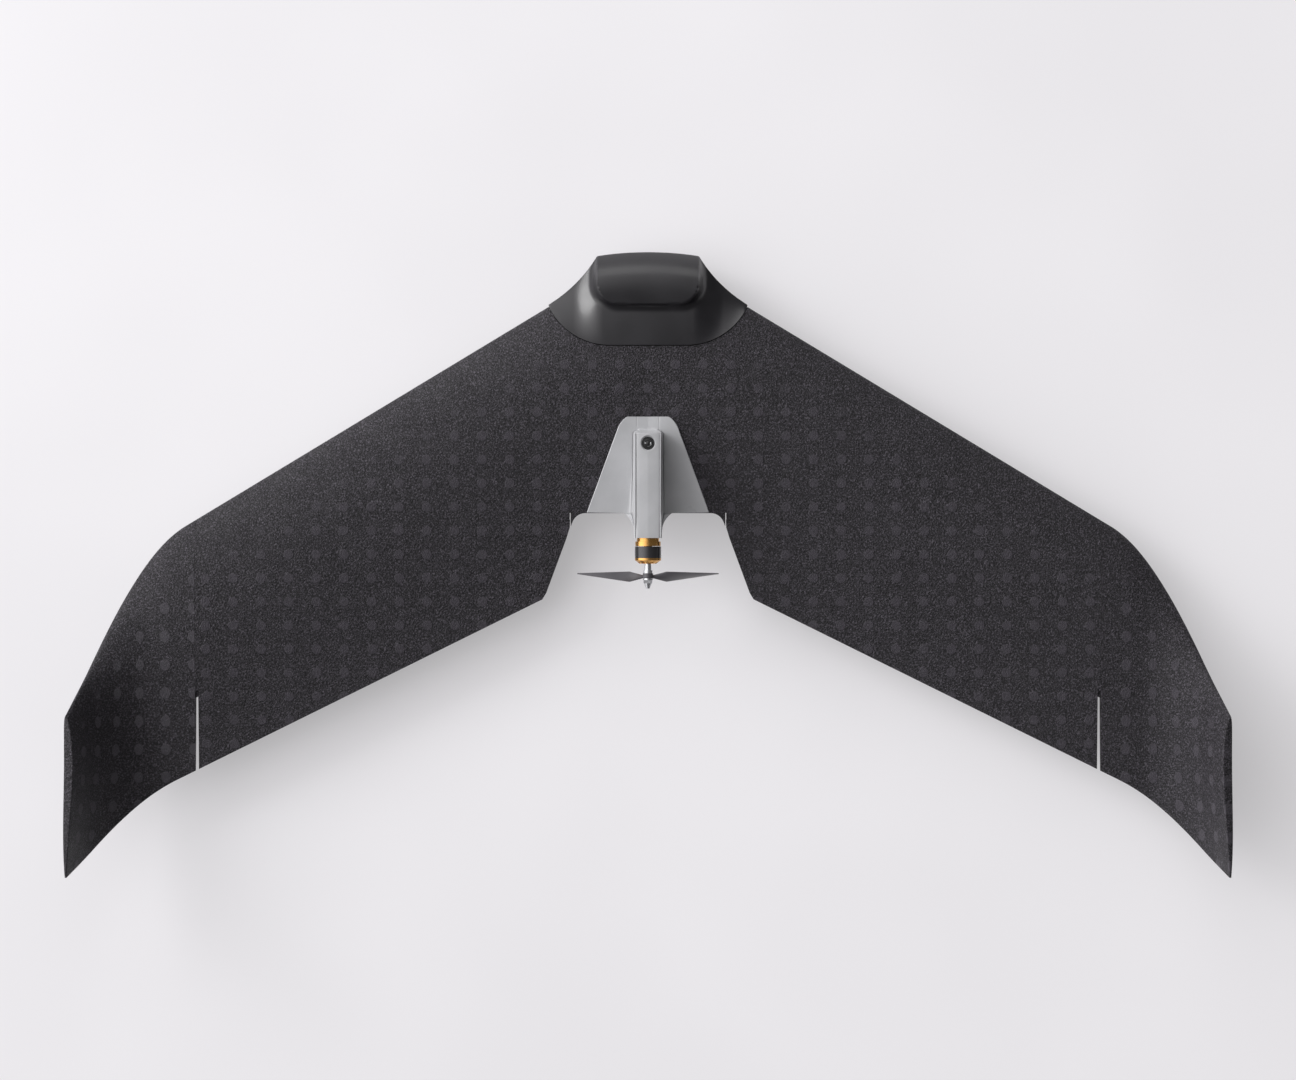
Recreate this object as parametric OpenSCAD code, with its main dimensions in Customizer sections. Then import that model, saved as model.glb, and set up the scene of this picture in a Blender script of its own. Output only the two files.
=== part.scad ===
// Swept flying-wing foam aeroplane with a pusher motor, elevons and blended winglets.
// X points to the right wing, Y to the nose and Z up; the origin is on the ground, at the
// centre of the outline. Lengths are in millimetres.

/* [Wing] */
// Half-width of the foam wing, from the centre line to a winglet seam
panel_half_span = 451; // [400:1:520]
// Chord at the centre line
root_chord = 299.8; // [270:0.1:330]
// How far the leading edge moves aft for each millimetre outboard
le_sweep = 0.604; // [0.5:0.001:0.7]
// How far the trailing edge moves aft for each millimetre outboard
te_sweep = 0.494; // [0.4:0.001:0.6]
// Thickness of the section at the centre line
root_thick = 33; // [28:0.5:40]
// Thickness of the section at the winglet seam
seam_thick = 24; // [20:0.5:30]
// Thickness of the trailing edge
edge_thick = 2; // [1.2:0.1:4]
// Camber of the section, as a rate of the chord
camber_rate = 0.15; // [0.05:0.01:0.2]
// Height of the chord plane at the centre line
panel_z = 37.1; // [35:0.1:48]
// Rise of the chord plane from the centre line to the seam
seam_rise = 0.95; // [0:0.05:6]

/* [Winglets] */
// Flat run outboard of the seam
winglet_flat = 41.5; // [30:0.5:60]
// Radius of the upward bend
winglet_bend_r = 73; // [50:1:100]
// Angle of the upper part from level
winglet_cant = 70; // [50:1:80]
// Straight run above the bend
winglet_straight = 33; // [10:1:60]
// Thickness of the section at the tip
tip_thick = 9.5; // [6:0.5:16]
// Aft slope of the leading edge near the tip
le_tip_slope = 2.42; // [1.5:0.01:3]
// Aft slope of the trailing edge near the tip
te_tip_slope = 1.17; // [0.8:0.01:1.6]

/* [Elevons] */
// Chord of an elevon, measured along Y
elevon_chord = 72.7; // [55:0.1:85]
// Distance of an elevon's inner end from the centre line
elevon_in = 78; // [77:0.5:100]
// Width of the slot between an elevon and its winglet
tip_slot = 3; // [2:0.5:6]
// Angle of the groove under the hinge
groove_angle = 31; // [28:1:40]
// Width of the flexible hinge strip
strip_w = 12; // [8:1:16]
// Thickness of the flexible hinge strip
strip_t = 0.5; // [0.4:0.1:0.8]

/* [Propeller bay] */
// Distance of the bay's front edge behind the nose
bay_edge = 260.5; // [250:0.5:275]
// Half-width of the bay where its front edge and its sides would meet
bay_half_w = 72.2; // [66:0.1:76]
// How far each side of the bay moves outboard for each millimetre aft
bay_flare = 0.368; // [0.2:0.001:0.45]
// Radius of the bay's front corners
bay_corner_r = 14; // [6:1:20]

/* [Nose and belly] */
// How far the leading edges would meet ahead of the nose
apex_overhang = 5.2; // [0:0.1:12]
// Half-width of the blunt nose
nose_half_w = 50.8; // [44:0.1:58]
// Radius of the nose's front edge, seen from above
nose_r = 324; // [200:1:600]
// Half-width of the hood and the belly where they meet the leading edges
hood_half_w = 99.6; // [90:0.1:112]
// Radius of the hollow flank curve
flank_r = 144; // [110:1:220]
// Distance of the hood's rear edge behind the nose
hood_rear = 93.8; // [80:0.1:105]
// Radius of the hood's rear corners
hood_corner_r = 67; // [63:1:80]
// Half-width of the straight part of the hood's rear edge
hood_flat = 38; // [30:1:46]
// Wall of the hood
hood_wall = 2.2; // [1.6:0.1:3]
// Height of the deck that the hood closes
deck_z = 38; // [36:0.1:42]
// Height of the raised block on the hood
block_z = 66.5; // [63:0.5:74]
// Half-width of the raised block at its rear
block_half_w = 49; // [42:0.5:50]
// Distance of the raised block's rear edge behind the nose
block_rear = 52.2; // [40:0.1:62]
// Width of the battery bay
pack_bay_w = 84; // [70:1:90]
// Height of the battery bay's floor
pack_bay_floor = 6; // [5:0.5:12]
// Distance of the battery bay's front wall behind the nose
pack_bay_front = 29.8; // [28:0.1:34]
// Distance of the battery bay's rear wall behind the nose
pack_bay_rear = 214.8; // [208:0.1:220]
// Height of the belly's flat keel
keel_z = 1.5; // [1:0.1:2.5]
// Half-width of the belly's rear end
belly_rear_w = 62; // [50:1:70]

/* [Cowl and motor] */
// Distance of the cowl's front edge behind the nose
cowl_front = 164.5; // [155:0.5:172]
// Half-width of the cowl plate's straight front edge
cowl_front_w = 19; // [14:0.5:24]
// Half-width of the cowl plate at the propeller bay
cowl_rear_w = 61.1; // [45:0.1:61.5]
// Thickness of the cowl's walls
cowl_wall = 1.8; // [1.4:0.1:2.4]
// Distance of the spine's front face behind the nose
spine_front = 176.8; // [172:0.1:184]
// Half-width of the spine's top
spine_top_w = 12.4; // [11.9:0.1:16]
// Height of the spine at its front
spine_front_z = 92; // [90:0.5:100]
// Height of the motor's axis
motor_z = 76; // [74:0.5:80]
// Distance of the firewall's rear face behind the nose
firewall_back = 285.4; // [278:0.1:292]
// Thickness of the firewall
firewall_t = 3; // [2:0.5:4]
// Outer radius of the motor's can
bell_r = 13; // [12:0.1:15]
// Radius of the motor's shaft
shaft_r = 1.5; // [1.2:0.1:2]
// Radius of the propeller
prop_r = 70; // [55:1:72]
// Distance that the propeller would advance in one turn
prop_pitch = 114; // [80:1:150]
// Distance of the power button behind the nose
button_back = 191.7; // [188:0.1:196]
// Radius of the power button
button_r = 4.4; // [3.5:0.1:5]

/* [Linkage and spars] */
// Distance of each servo's control rod from the centre line, along X
link_x = 250; // [180:1:320]
// Distance from the hinge to the servo's shaft
link_run = 60; // [50:1:75]
// Radius of the servo arm and of the control horn
arm_r = 20; // [16:0.5:22]
// Height of the servo's shaft
servo_z = 40; // [39:0.5:41]
// Radius of the control rod
rod_r = 0.8; // [0.6:0.1:1.2]
// Outer radius of a main spar tube
spar_r = 4; // [3:0.5:5]
// Height of the main spars' axis
spar_z = 44; // [43.5:0.1:46]
// Radius of a rear stiffener rod
stiff_r = 2; // [1.5:0.1:2.5]

/* [Hidden] */

// Clearances: around glued pieces, between neighbouring shells, and of a running fit
glue_gap = 0.2;
shell_gap = 0.4;
run_gap = 0.02;
round_steps = 64;
fine_steps = 32;
chord_steps = 16;
far = 700;

function lerp(a, b, t) = a + (b - a) * t;
function clamp(v) = min(1, max(0, v));
function smooth(a, b, v) = let (t = clamp((v - a) / (b - a))) t * t * (3 - 2 * t);
function quarter(t) = sqrt(1 - pow(1 - clamp(t), 2));

// ---- outline of the wing, with y measured from the apex of the leading edges ----
le_bend_x = panel_half_span + 11;
te_bend_x = panel_half_span + 19;
bend_end_x = panel_half_span + 99;
tip_x = panel_half_span + winglet_flat + winglet_bend_r * sin(winglet_cant)
    + winglet_straight * cos(winglet_cant);

function edge_drop(x, slope, tip_slope, start) =
    let (bent = max(0, min(x, bend_end_x) - start), past = max(0, x - max(bend_end_x, start)))
    slope * x + (tip_slope - slope) * (pow(bent, 2) / (2 * (bend_end_x - start)) + past);

tail_drop = root_chord + edge_drop(tip_x, te_sweep, te_tip_slope, te_bend_x);
nose_y = (tail_drop - apex_overhang) / 2;
apex_y = nose_y + apex_overhang;

function le_y(x) = apex_y - edge_drop(abs(x), le_sweep, le_tip_slope, le_bend_x);
function te_y(x) = apex_y - root_chord - edge_drop(abs(x), te_sweep, te_tip_slope, te_bend_x);
function aft(d) = nose_y - d;

// ---- wing section ----
function half_thick(t, f) = edge_thick / 2 * f
    + 5 * t * (0.2969 * sqrt(f) + f * (-0.1260 + f * (-0.3516 + f * (0.2843 - 0.1036 * f))));
function camber(c, f) = camber_rate * c * f * (1 - f) * (1 - 1.2 * f);
function panel_thick(x) = lerp(root_thick, seam_thick, abs(x) / panel_half_span);
function chord_z(x) = panel_z + seam_rise * abs(x) / panel_half_span;
function panel_z_at(x, y, side) =
    let (c = le_y(x) - te_y(x), f = clamp((le_y(x) - y) / c))
    chord_z(x) + camber(c, f) + side * half_thick(panel_thick(x), f);
function foam_top(x, y) = panel_z_at(x, y, 1);
function foam_bottom(x, y) = panel_z_at(x, y, -1);
function chord_stop(k) = (1 - cos(180 * k / chord_steps)) / 2;

// One closed section: nose, upper side, trailing edge, lower side. x and z place the chord
// plane, and tilt turns the section about Y.
function section(x, z, tilt, t) =
    let (lead = le_y(x), c = lead - te_y(x))
    [for (k = [0 : 2 * chord_steps])
        let (
            up = k <= chord_steps,
            f = chord_stop(up ? k : 2 * chord_steps + 1 - k),
            h = camber(c, f) + (up ? 1 : -1) * half_thick(t, f)
        )
        [x - h * sin(tilt), lead - f * c, z + h * cos(tilt)]];

// ---- derived places ----
hinge_root_y = te_y(0) + elevon_chord;
hinge_angle = atan(te_sweep);
hinge_mid_x = (elevon_in + panel_half_span) / 2;
elevon_out = panel_half_span - tip_slot;
function hinge_y(x) = hinge_root_y - te_sweep * x;
hinge_z = foam_top(hinge_mid_x, hinge_y(hinge_mid_x)) - strip_t;
hinge_slope = atan((foam_top(hinge_mid_x, hinge_y(hinge_mid_x) + strip_w / 2)
    - foam_top(hinge_mid_x, hinge_y(hinge_mid_x) - strip_w / 2)) / strip_w);
hinge_gap = 0.4;
lift_angle = 28;
end_lean = 0.26;

bay_y = aft(bay_edge);
boom_end_y = aft(firewall_back);
bay_side_angle = atan(bay_flare);
bay_arc_x = bay_half_w - bay_corner_r * tan((90 - bay_side_angle) / 2);

flank_foot = le_y(hood_half_w) + 2.2;
flank_mid = [(nose_half_w + hood_half_w) / 2, (nose_y - nose_drop(nose_half_w) + flank_foot) / 2];
flank_chord = [hood_half_w - nose_half_w, flank_foot - nose_y + nose_drop(nose_half_w)];
flank_out = [-flank_chord[1], flank_chord[0]] / norm(flank_chord);
flank_centre = flank_mid + flank_out * sqrt(pow(flank_r, 2) - pow(norm(flank_chord) / 2, 2));
function nose_drop(x) = nose_r - sqrt(pow(nose_r, 2) - pow(x, 2));
function front_y(x) = abs(x) <= nose_half_w
    ? nose_y - nose_drop(x)
    : flank_centre[1] - sqrt(pow(flank_r, 2) - pow(min(abs(x), hood_half_w) - flank_centre[0], 2));
function rear_y(x) = aft(hood_rear) + hood_corner_r
    - sqrt(pow(hood_corner_r, 2) - pow(max(0, min(abs(x), hood_half_w) - hood_flat), 2));
function front_half_w(y) = y >= front_y(nose_half_w)
    ? sqrt(max(0, pow(nose_r, 2) - pow(y - nose_y + nose_r, 2)))
    : flank_centre[0] - sqrt(pow(flank_r, 2) - pow(y - flank_centre[1], 2));

// ---- solids from rings of points ----
module skin(rings) {
    n = len(rings[0]);
    last = len(rings) - 1;
    sides = [for (r = [0 : last - 1], k = [0 : n - 1])
        let (a = r * n + k, b = r * n + (k + 1) % n)
        each [[a, a + n, b + n], [a, b + n, b]]];
    caps = [[for (k = [0 : n - 1]) k], [for (k = [n - 1 : -1 : 0]) last * n + k]];
    polyhedron([for (r = rings) each r], concat(sides, caps));
}

function arc(cx, cy, r, a0, a1, n = 8) =
    [for (i = [0 : n]) [cx + r * cos(lerp(a0, a1, i / n)), cy + r * sin(lerp(a0, a1, i / n))]];
function mirrored(points) = [for (i = [len(points) - 1 : -1 : 0]) [-points[i][0], points[i][1]]];
function rounded(w, d, r) = concat(
    arc(w / 2 - r, d / 2 - r, r, 0, 90, 4), arc(r - w / 2, d / 2 - r, r, 90, 180, 4),
    arc(r - w / 2, r - d / 2, r, 180, 270, 4), arc(w / 2 - r, r - d / 2, r, 270, 360, 4));

module both_sides() {
    children();
    mirror([1, 0, 0]) children();
}

module block(x, y, z) {
    translate([x[0], y[0], z[0]]) cube([x[1] - x[0], y[1] - y[0], z[1] - z[0]]);
}

// A round piece along Y, on the motor's axis, between two distances behind the firewall
module turned(from, to, r, bore = 0, end_r = -1) {
    translate([0, boom_end_y - from, motor_z]) rotate([90, 0, 0]) difference() {
        cylinder(h = to - from, r1 = r, r2 = end_r < 0 ? r : end_r, $fn = round_steps);
        if (bore > 0) translate([0, 0, -1]) cylinder(h = to - from + 2, r = bore, $fn = round_steps);
    }
}

// The frame of a right-hand hinge: X along the hinge, Y ahead of it, Z from the ground
module on_hinge(x = 0) {
    translate([x, hinge_y(x), 0]) rotate([0, 0, -hinge_angle]) children();
}

// ---- foam ----
module wing_blank() {
    skin([for (s = [-1, 0, 1]) section_at(s * panel_half_span)]);
}

function section_at(x) =
    [for (p = section(abs(x), chord_z(x), 0, panel_thick(x))) [x, p[1], p[2]]];

module bay_cut() {
    right = concat([[bay_half_w + bay_flare * (bay_y + far), -far]],
        arc(bay_arc_x, bay_y - bay_corner_r, bay_corner_r, bay_side_angle, 90));
    translate([0, 0, -10]) linear_extrude(200) polygon(concat(right, mirrored(right)));
}

module groove_cut() {
    deep = hinge_z + 10;
    on_hinge() translate([-far, 0, 0]) rotate([90, 0, 90]) linear_extrude(2 * far) polygon([
        [far, hinge_z + 20], [-hinge_gap - 20 * tan(lift_angle), hinge_z + 20], [-hinge_gap, hinge_z],
        [-hinge_gap - deep * tan(groove_angle), -10], [far, -10]]);
}

// The elevon's inner end leans outwards below the hinge, to clear the wing as the elevon goes up
module end_cut() {
    translate([elevon_in, far, hinge_z]) rotate([90, 0, 0]) linear_extrude(2 * far)
        polygon([[0, 0], [-5, 0], [-5, -60], [60 * end_lean, -60]]);
}

module strip_shape(grow, up) {
    start = (elevon_in + 3) / cos(hinge_angle);
    end = (elevon_out - 3) / cos(hinge_angle);
    on_hinge() translate([start - grow, 0, hinge_z]) rotate([hinge_slope, 0, 0])
        translate([0, -strip_w / 2 - grow, -strip_t / 2 - grow / 2])
            cube([end - start + 2 * grow, strip_w + 2 * grow, strip_t + grow + up]);
}

module elevon_shape() {
    difference() {
        intersection() {
            wing_blank();
            block([elevon_in, elevon_out], [-far, far], [0, 100]);
        }
        groove_cut();
        bay_cut();
        end_cut();
        strip_shape(glue_gap, 3);
        on_hinge(link_x) horn_plate(glue_gap);
    }
}

// The control horn's plate, in the hinge's frame, with its slot in the elevon when grown
module horn_plate(grow = 0) {
    ear = 3.2;
    hole_z = horn_hole_z;
    translate([1.5 - grow, 0, 0]) rotate([90, 0, 90]) linear_extrude(1.5 + 2 * grow) polygon(concat(
        arc(0, hole_z, ear, -110, 100),
        [[-11 + grow, hole_z + 5], [-13 + grow, hole_z + 13 + grow],
         [-24 - grow, hole_z + 13 + grow], [-24 - grow, hole_z + 2]]));
}

// Half-width of the belly moulding at a place along Y
function belly_w(y) = y < flank_foot
    ? lerp(belly_rear_w, hood_half_w, clamp((y - bay_y) / (flank_foot - bay_y)))
    : front_half_w(y);

function keel(y) = keel_z
    + (foam_bottom(0, bay_y) - keel_z) * pow(clamp((aft(199.8) - y) / (aft(199.8) - bay_y)), 1.6)
    + 7 * pow(clamp((y - aft(69.8)) / 60), 2)
    + 24 * (1 - quarter((nose_y - y) / 13));

function belly_ring(y) =
    let (w = belly_w(y), top = deck_z - 0.1, low = keel(y),
        edge = max(low, min(top - 1, foam_bottom(w, min(y, le_y(w))))))
    concat([[-w, y, top], [w, y, top]],
        [for (t = [1, 0.88, 0.76, 0.64, 0.52, 0.42, 0, -0.42, -0.52, -0.64, -0.76, -0.88, -1])
            [t * w, y, lerp(low, edge, pow(smooth(0.36, 1.05, abs(t)), 0.9))]]);

belly_stops = concat([for (d = [0, 8, 18, 30, 45]) bay_y + 0.2 + d], [aft(199.8), aft(150), aft(110)],
    [for (d = [69.8, 54, 45, 35, 26, 18, 13, 9, 6, 4, 2.4, 1.2, 0.5]) aft(d)]);

// Plan of the nose with a margin, used to cut the wing foam for the hood
function hood_plan(grow) =
    let (right = [for (t = [0 : 0.1 : 1])
        let (x = t * hood_half_w) [x + grow * t, rear_y(x) - grow]])
    concat([for (i = [len(right) - 1 : -1 : 0]) [-right[i][0], right[i][1]]], right,
        [[hood_half_w + grow, flank_foot + far], [-hood_half_w - grow, flank_foot + far]]);

module wing_foam() {
    color([0.17, 0.16, 0.18]) difference() {
        wing_blank();
        bay_cut();
        both_sides() translate([0, 0, -10]) linear_extrude(200) polygon([
            [elevon_in - 1, hinge_y(elevon_in - 1)],
            [panel_half_span + 1, hinge_y(panel_half_span + 1)],
            [panel_half_span + 1, -far], [elevon_in - 1, -far]]);
        both_sides() strip_shape(glue_gap, 3);
        belly_cut();
        translate([0, 0, deck_z]) linear_extrude(100) polygon(hood_plan(shell_gap));
        both_sides() {
            spar_tube(spar_r + glue_gap, 1, 2);
            stiffener(stiff_r + glue_gap, 1);
            pegs(stiff_r + glue_gap);
            servo_pocket();
            lead_ribbon(0.6);
            cowl_stud(glue_gap);
        }
        joiner_block(glue_gap, 1);
        wire_hole();
    }
}

module belly_cut() {
    g = glue_gap;
    translate([0, 0, -10]) linear_extrude(deck_z + 10.1) polygon([
        [-belly_rear_w - g, bay_y], [-belly_rear_w - g, bay_y - 60], [belly_rear_w + g, bay_y - 60],
        [belly_rear_w + g, bay_y], [hood_half_w + g, flank_foot], [hood_half_w + g, far],
        [-hood_half_w - g, far], [-hood_half_w - g, flank_foot]]);
}

module belly_foam() {
    color([0.15, 0.15, 0.16]) difference() {
        skin([for (y = belly_stops) belly_ring(y)]);
        block([-pack_bay_w / 2, pack_bay_w / 2], [aft(pack_bay_rear), aft(pack_bay_front)],
            [pack_bay_floor, deck_z + 10]);
        both_sides() lead_ribbon(0.6);
        camera_bore();
        for (p = magnet_places) both_sides() translate([p[0], p[1], deck_z - 2.3])
            cylinder(h = 10, r = magnet_r + 0.1, $fn = fine_steps);
        block(gps_x + [-glue_gap, glue_gap], gps_y + [-glue_gap, glue_gap], [gps_z[0] - glue_gap, 60]);
        translate([0, sensor_y, 0]) cylinder(h = 20, r = sensor_r + glue_gap, $fn = fine_steps);
    }
}

function bend_ring(s) =
    let (
        arc_len = winglet_bend_r * winglet_cant * PI / 180,
        total = winglet_flat + arc_len + winglet_straight,
        run = max(0, min(s - winglet_flat, arc_len)),
        tilt = run / winglet_bend_r * 180 / PI,
        past = max(0, s - winglet_flat - arc_len),
        x = panel_half_span + min(s, winglet_flat) + winglet_bend_r * sin(tilt) + past * cos(tilt),
        z = chord_z(panel_half_span) + winglet_bend_r * (1 - cos(tilt)) + past * sin(tilt)
    )
    section(x, z, tilt, lerp(seam_thick, tip_thick, s / total));

module winglet() {
    arc_len = winglet_bend_r * winglet_cant * PI / 180;
    stops = concat([glue_gap, winglet_flat * 0.35, winglet_flat * 0.7, winglet_flat],
        [for (i = [1 : 8]) winglet_flat + arc_len * i / 8], [winglet_flat + arc_len + winglet_straight]);
    color([0.17, 0.16, 0.18]) difference() {
        skin([for (s = stops) bend_ring(s)]);
        pegs(stiff_r + glue_gap);
    }
}

module winglet_right() { winglet(); }
module winglet_left() { mirror([1, 0, 0]) winglet(); }
module elevon_right() { color([0.17, 0.16, 0.18]) elevon_shape(); }
module elevon_left() { color([0.17, 0.16, 0.18]) mirror([1, 0, 0]) elevon_shape(); }
module elevon_hinge_right() { color([0.1, 0.1, 0.1]) strip_shape(0, 0); }
module elevon_hinge_left() { color([0.1, 0.1, 0.1]) mirror([1, 0, 0]) strip_shape(0, 0); }

// ---- hood ----
hood_rim_z = deck_z + 0.3;
hood_edge_z = hood_rim_z + 2;
magnet_r = 4;
magnet_places = [[60, aft(76)], [30, aft(24)]];

function block_inset(x, y) =
    let (
        r = 18,
        half = lerp(block_half_w, nose_half_w + 0.7, clamp((y - aft(block_rear)) / block_rear)),
        ax = half - abs(x),
        ay = y - aft(block_rear)
    )
    ax < r && ay < r ? r - norm([r - ax, r - ay]) : min(ax, ay);

function hood_z(x, y) =
    let (
        back = rear_y(x), front = front_y(x), v = clamp((y - back) / (front - back)),
        high = foam_top(x, back) + 1, k = smooth(45, 75, abs(x)),
        base = lerp(hood_edge_z, max(high, hood_edge_z + 0.2),
            (1 - k) * (1 - pow(v, 2.4)) + k * pow(1 - v, 1.15)),
        top = lerp(hood_edge_z, block_z, quarter((front - y) / 26))
    )
    lerp(base, max(base, top), clamp(block_inset(x, y) / 4.5));

hood_columns = 28;
hood_rows = 14;
// Rings of the hood's outer or inner side: inset moves it inward and down moves it lower
function hood_rings(inset, down, floor_z) =
    let (half = hood_half_w - 0.5 - inset)
    [for (i = [0 : hood_columns])
        let (x = lerp(-half, half, i / hood_columns),
            back = rear_y(x) + 0.3 + inset, front = max(front_y(x) - 0.3 - inset, back + 0.6))
        concat(
            [[x, front + 0.2, floor_z]],
            [for (j = [hood_rows : -1 : 0])
                let (y = lerp(back, front, j / hood_rows))
                [x, y, max(hood_rim_z + 0.4, hood_z(x, y) - down)]],
            [[x, back - 0.2, floor_z]])];

module hood() {
    color([0.13, 0.13, 0.14]) union() {
        difference() {
            skin(hood_rings(0, 0, hood_rim_z));
            skin(hood_rings(hood_wall, hood_wall, hood_rim_z - 2));
        }
        for (p = magnet_places) both_sides() translate([p[0], p[1], hood_rim_z + 2.2])
            cylinder(h = hood_z(p[0], p[1]) - hood_wall * 0.8 - hood_rim_z - 2.2, r = magnet_r + 0.6,
                $fn = fine_steps);
    }
}

module hood_magnets() {
    color([0.75, 0.75, 0.77]) for (p = magnet_places) both_sides()
        translate([p[0], p[1], hood_rim_z + 0.2]) cylinder(h = 2, r = magnet_r, $fn = fine_steps);
}

module deck_magnets() {
    color([0.75, 0.75, 0.77]) for (p = magnet_places) both_sides()
        translate([p[0], p[1], deck_z - 2.2]) cylinder(h = 2, r = magnet_r, $fn = fine_steps);
}

// ---- cowl, seen as rings across Y ----
spine_base_w = 15;
skirt_w = 24;
flare_w = 23.4;
flare_power = 3.2;
spine_face = 5;
spine_y = aft(spine_front);
boom_bottom_z = motor_z - 14;
boom_top_z = motor_z + 14;
joint_gap = 0.05;
firewall_r = 11.5;
function spine_z(y) = lerp(boom_top_z, spine_front_z, (y - boom_end_y) / (spine_y - boom_end_y));
function rise(y) = smooth(0, 1, (spine_y - y) / spine_face);
function skirt(y) = y > bay_y
    ? lerp(spine_base_w + 1.5, skirt_w, pow(clamp((spine_y - y) / (spine_y - bay_y)), 2))
    : lerp(spine_top_w + 0.7, flare_w, pow(clamp((y - boom_end_y) / (bay_y - boom_end_y)), flare_power));
function base_w(y) = min(spine_base_w,
    lerp(spine_top_w + 0.4, spine_base_w, (y - boom_end_y) / (bay_y - boom_end_y)));
function plate_w(y) =
    let (front = aft(cowl_front), corner = 13, straight = front - corner * 0.87,
        edge = lerp(cowl_front_w + corner * 0.84, cowl_rear_w, (straight - y) / (straight - bay_y)))
    y > straight
        ? cowl_front_w + (edge - cowl_front_w) * quarter((front - y) / (front - straight))
        : edge;
function plate_under(x, y) = foam_top(x, y) + 0.3;
function boom_under(y) = lerp(boom_bottom_z, plate_under(0, bay_y),
    pow(clamp((y - boom_end_y) / (bay_y - boom_end_y)), 1.3));

function cowl_profile(y) =
    let (g = skirt(y), w = max(plate_w(y), g + 1), t = spine_top_w, f = g - base_w(y), b = base_w(y))
    [[w, 0, 0], [(w + g) / 2, 0, 0], [g, 0, 0], [b + 0.3 * f, 0, 0.2 * f], [b + 0.05 * f, 0, 0.75 * f],
     [t + 0.5, 1, -3], [t - 0.6, 1, -0.9], [t - 3, 1, -0.1], [1.5, 1, 0.4]];

function cowl_ring(y) =
    let (
        shut = y <= bay_y,
        edge = cowl_profile(y),
        w = shut ? skirt(y) + 0.6 : edge[0][0],
        fixed = [for (i = [0 : 8]) shut && i < 2 ? [w - i / 2, 0, 0] : edge[i]],
        low = function(x) shut
            ? lerp(plate_under(x, bay_y), boom_under(y) - 2 * (1 - pow(x / w, 2)),
                clamp((bay_y - y) / 4))
            : plate_under(x, y),
        top = spine_z(y),
        upper = [for (p = fixed)
            let (plate = low(p[0]) + cowl_wall)
            [p[0], y, lerp(plate, p[1] > 0 ? top + p[2] : plate + p[2], rise(y))]],
        inner = [for (i = [0 : 8])
            let (p = fixed[i], plate = low(p[0]),
                x = shut ? w * (8.5 - i) / 8.5 : i < 3 || i == 8 ? p[0] : p[0] - cowl_wall * 1.1)
            [x, y, shut || i < 4 ? plate
                : lerp(plate, (i == 4 ? plate + 2 : top + p[2] - cowl_wall - 0.4), rise(y + 2.2))]]
    )
    concat([for (i = [0 : 8]) [-upper[i][0], y, upper[i][2]]], [for (i = [8 : -1 : 0]) upper[i]],
        [for (i = [0 : 8]) inner[i]], [for (i = [8 : -1 : 0]) [-inner[i][0], y, inner[i][2]]]);

boom_stops = [for (t = [0, 0.25, 0.45, 0.62, 0.74, 0.84, 0.92, 1]) lerp(boom_end_y, bay_y, t)];
cowl_stops = concat([for (y = [joint_gap, 8, 18, 30, 42, 54, 66]) bay_y + y],
    [for (d = [-9, -6, -4, -2.5, -1.2, 0.1]) spine_y + d],
    [for (d = [10.5, 8, 5.5, 3.2, 1.4, 0.3]) aft(cowl_front) - d]);

button_y = aft(button_back);
button_top = spine_z(button_y) + 0.3;
bezel_r = button_r + 1.9;

module motor_cowl() {
    color([0.62, 0.63, 0.64]) difference() {
        skin([for (y = cowl_stops) cowl_ring(y)]);
        translate([0, button_y, button_top - 12]) cylinder(h = 20, r = bezel_r + 0.1, $fn = round_steps);
        translate([0, button_y, button_top - 1])
            cylinder(h = 2, r1 = bezel_r + 0.3, r2 = bezel_r + 2.6, $fn = round_steps);
    }
}

// The cowl's rear part, moulded round the firewall
module motor_boom() {
    color([0.62, 0.63, 0.64]) difference() {
        skin([for (y = boom_stops) cowl_ring(y)]);
        boom_core();
        turned(-firewall_t - 0.1, 1, firewall_r + glue_gap);
    }
}

// Space inside the boom for the motor's leads, behind the spine's own hollow
module boom_core() {
    seat_y = boom_end_y + firewall_t + 0.1;
    half = spine_top_w - cowl_wall - 1.6;
    translate([half, 0, 0]) rotate([90, 0, -90]) linear_extrude(2 * half) polygon([
        [-seat_y, motor_z - 8], [-seat_y, motor_z + 8], [-bay_y - 3, motor_z + 8],
        [-bay_y - 3, foam_top(0, bay_y) + 8], [-bay_y + 3, foam_top(0, bay_y) + 10]]);
}

stud_r = 2.4;
stud_len = 7.5;
module cowl_stud(grow) {
    for (p = [[27, bay_y + 50], [45, bay_y + 16]])
        translate([p[0], p[1], foam_top(p[0], p[1]) - stud_len - grow])
            cylinder(h = stud_len + grow + (grow > 0 ? 5 : 0), r = stud_r + grow, $fn = fine_steps);
}

module cowl_studs() { color([0.62, 0.63, 0.64]) both_sides() cowl_stud(0); }

// ---- motor and propeller, measured behind the firewall's rear face ----
base_len = 3.5;
can_from = 8.4;
can_to = 19.9;
cap_to = 25.4;
hub_from = 34.9;
hub_to = 39.9;
screw_circle = 8;
neck_r = 4;

module round_ring(count, radius, from, to, r, start = 0) {
    for (i = [0 : count - 1])
        translate([0, boom_end_y - from, motor_z]) rotate([90, 0, 0])
            rotate([0, 0, start + 360 * i / count]) translate([radius, 0, 0])
                cylinder(h = to - from, r = r, $fn = fine_steps);
}

module motor_firewall() {
    color([0.25, 0.25, 0.26]) difference() {
        turned(-firewall_t, 0, firewall_r, 4.5);
        round_ring(4, screw_circle, -firewall_t - 1, 1, 1.15, 45);
        round_ring(3, 6.2, -firewall_t - 1, 1, 1.1, 90);
    }
}

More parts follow.
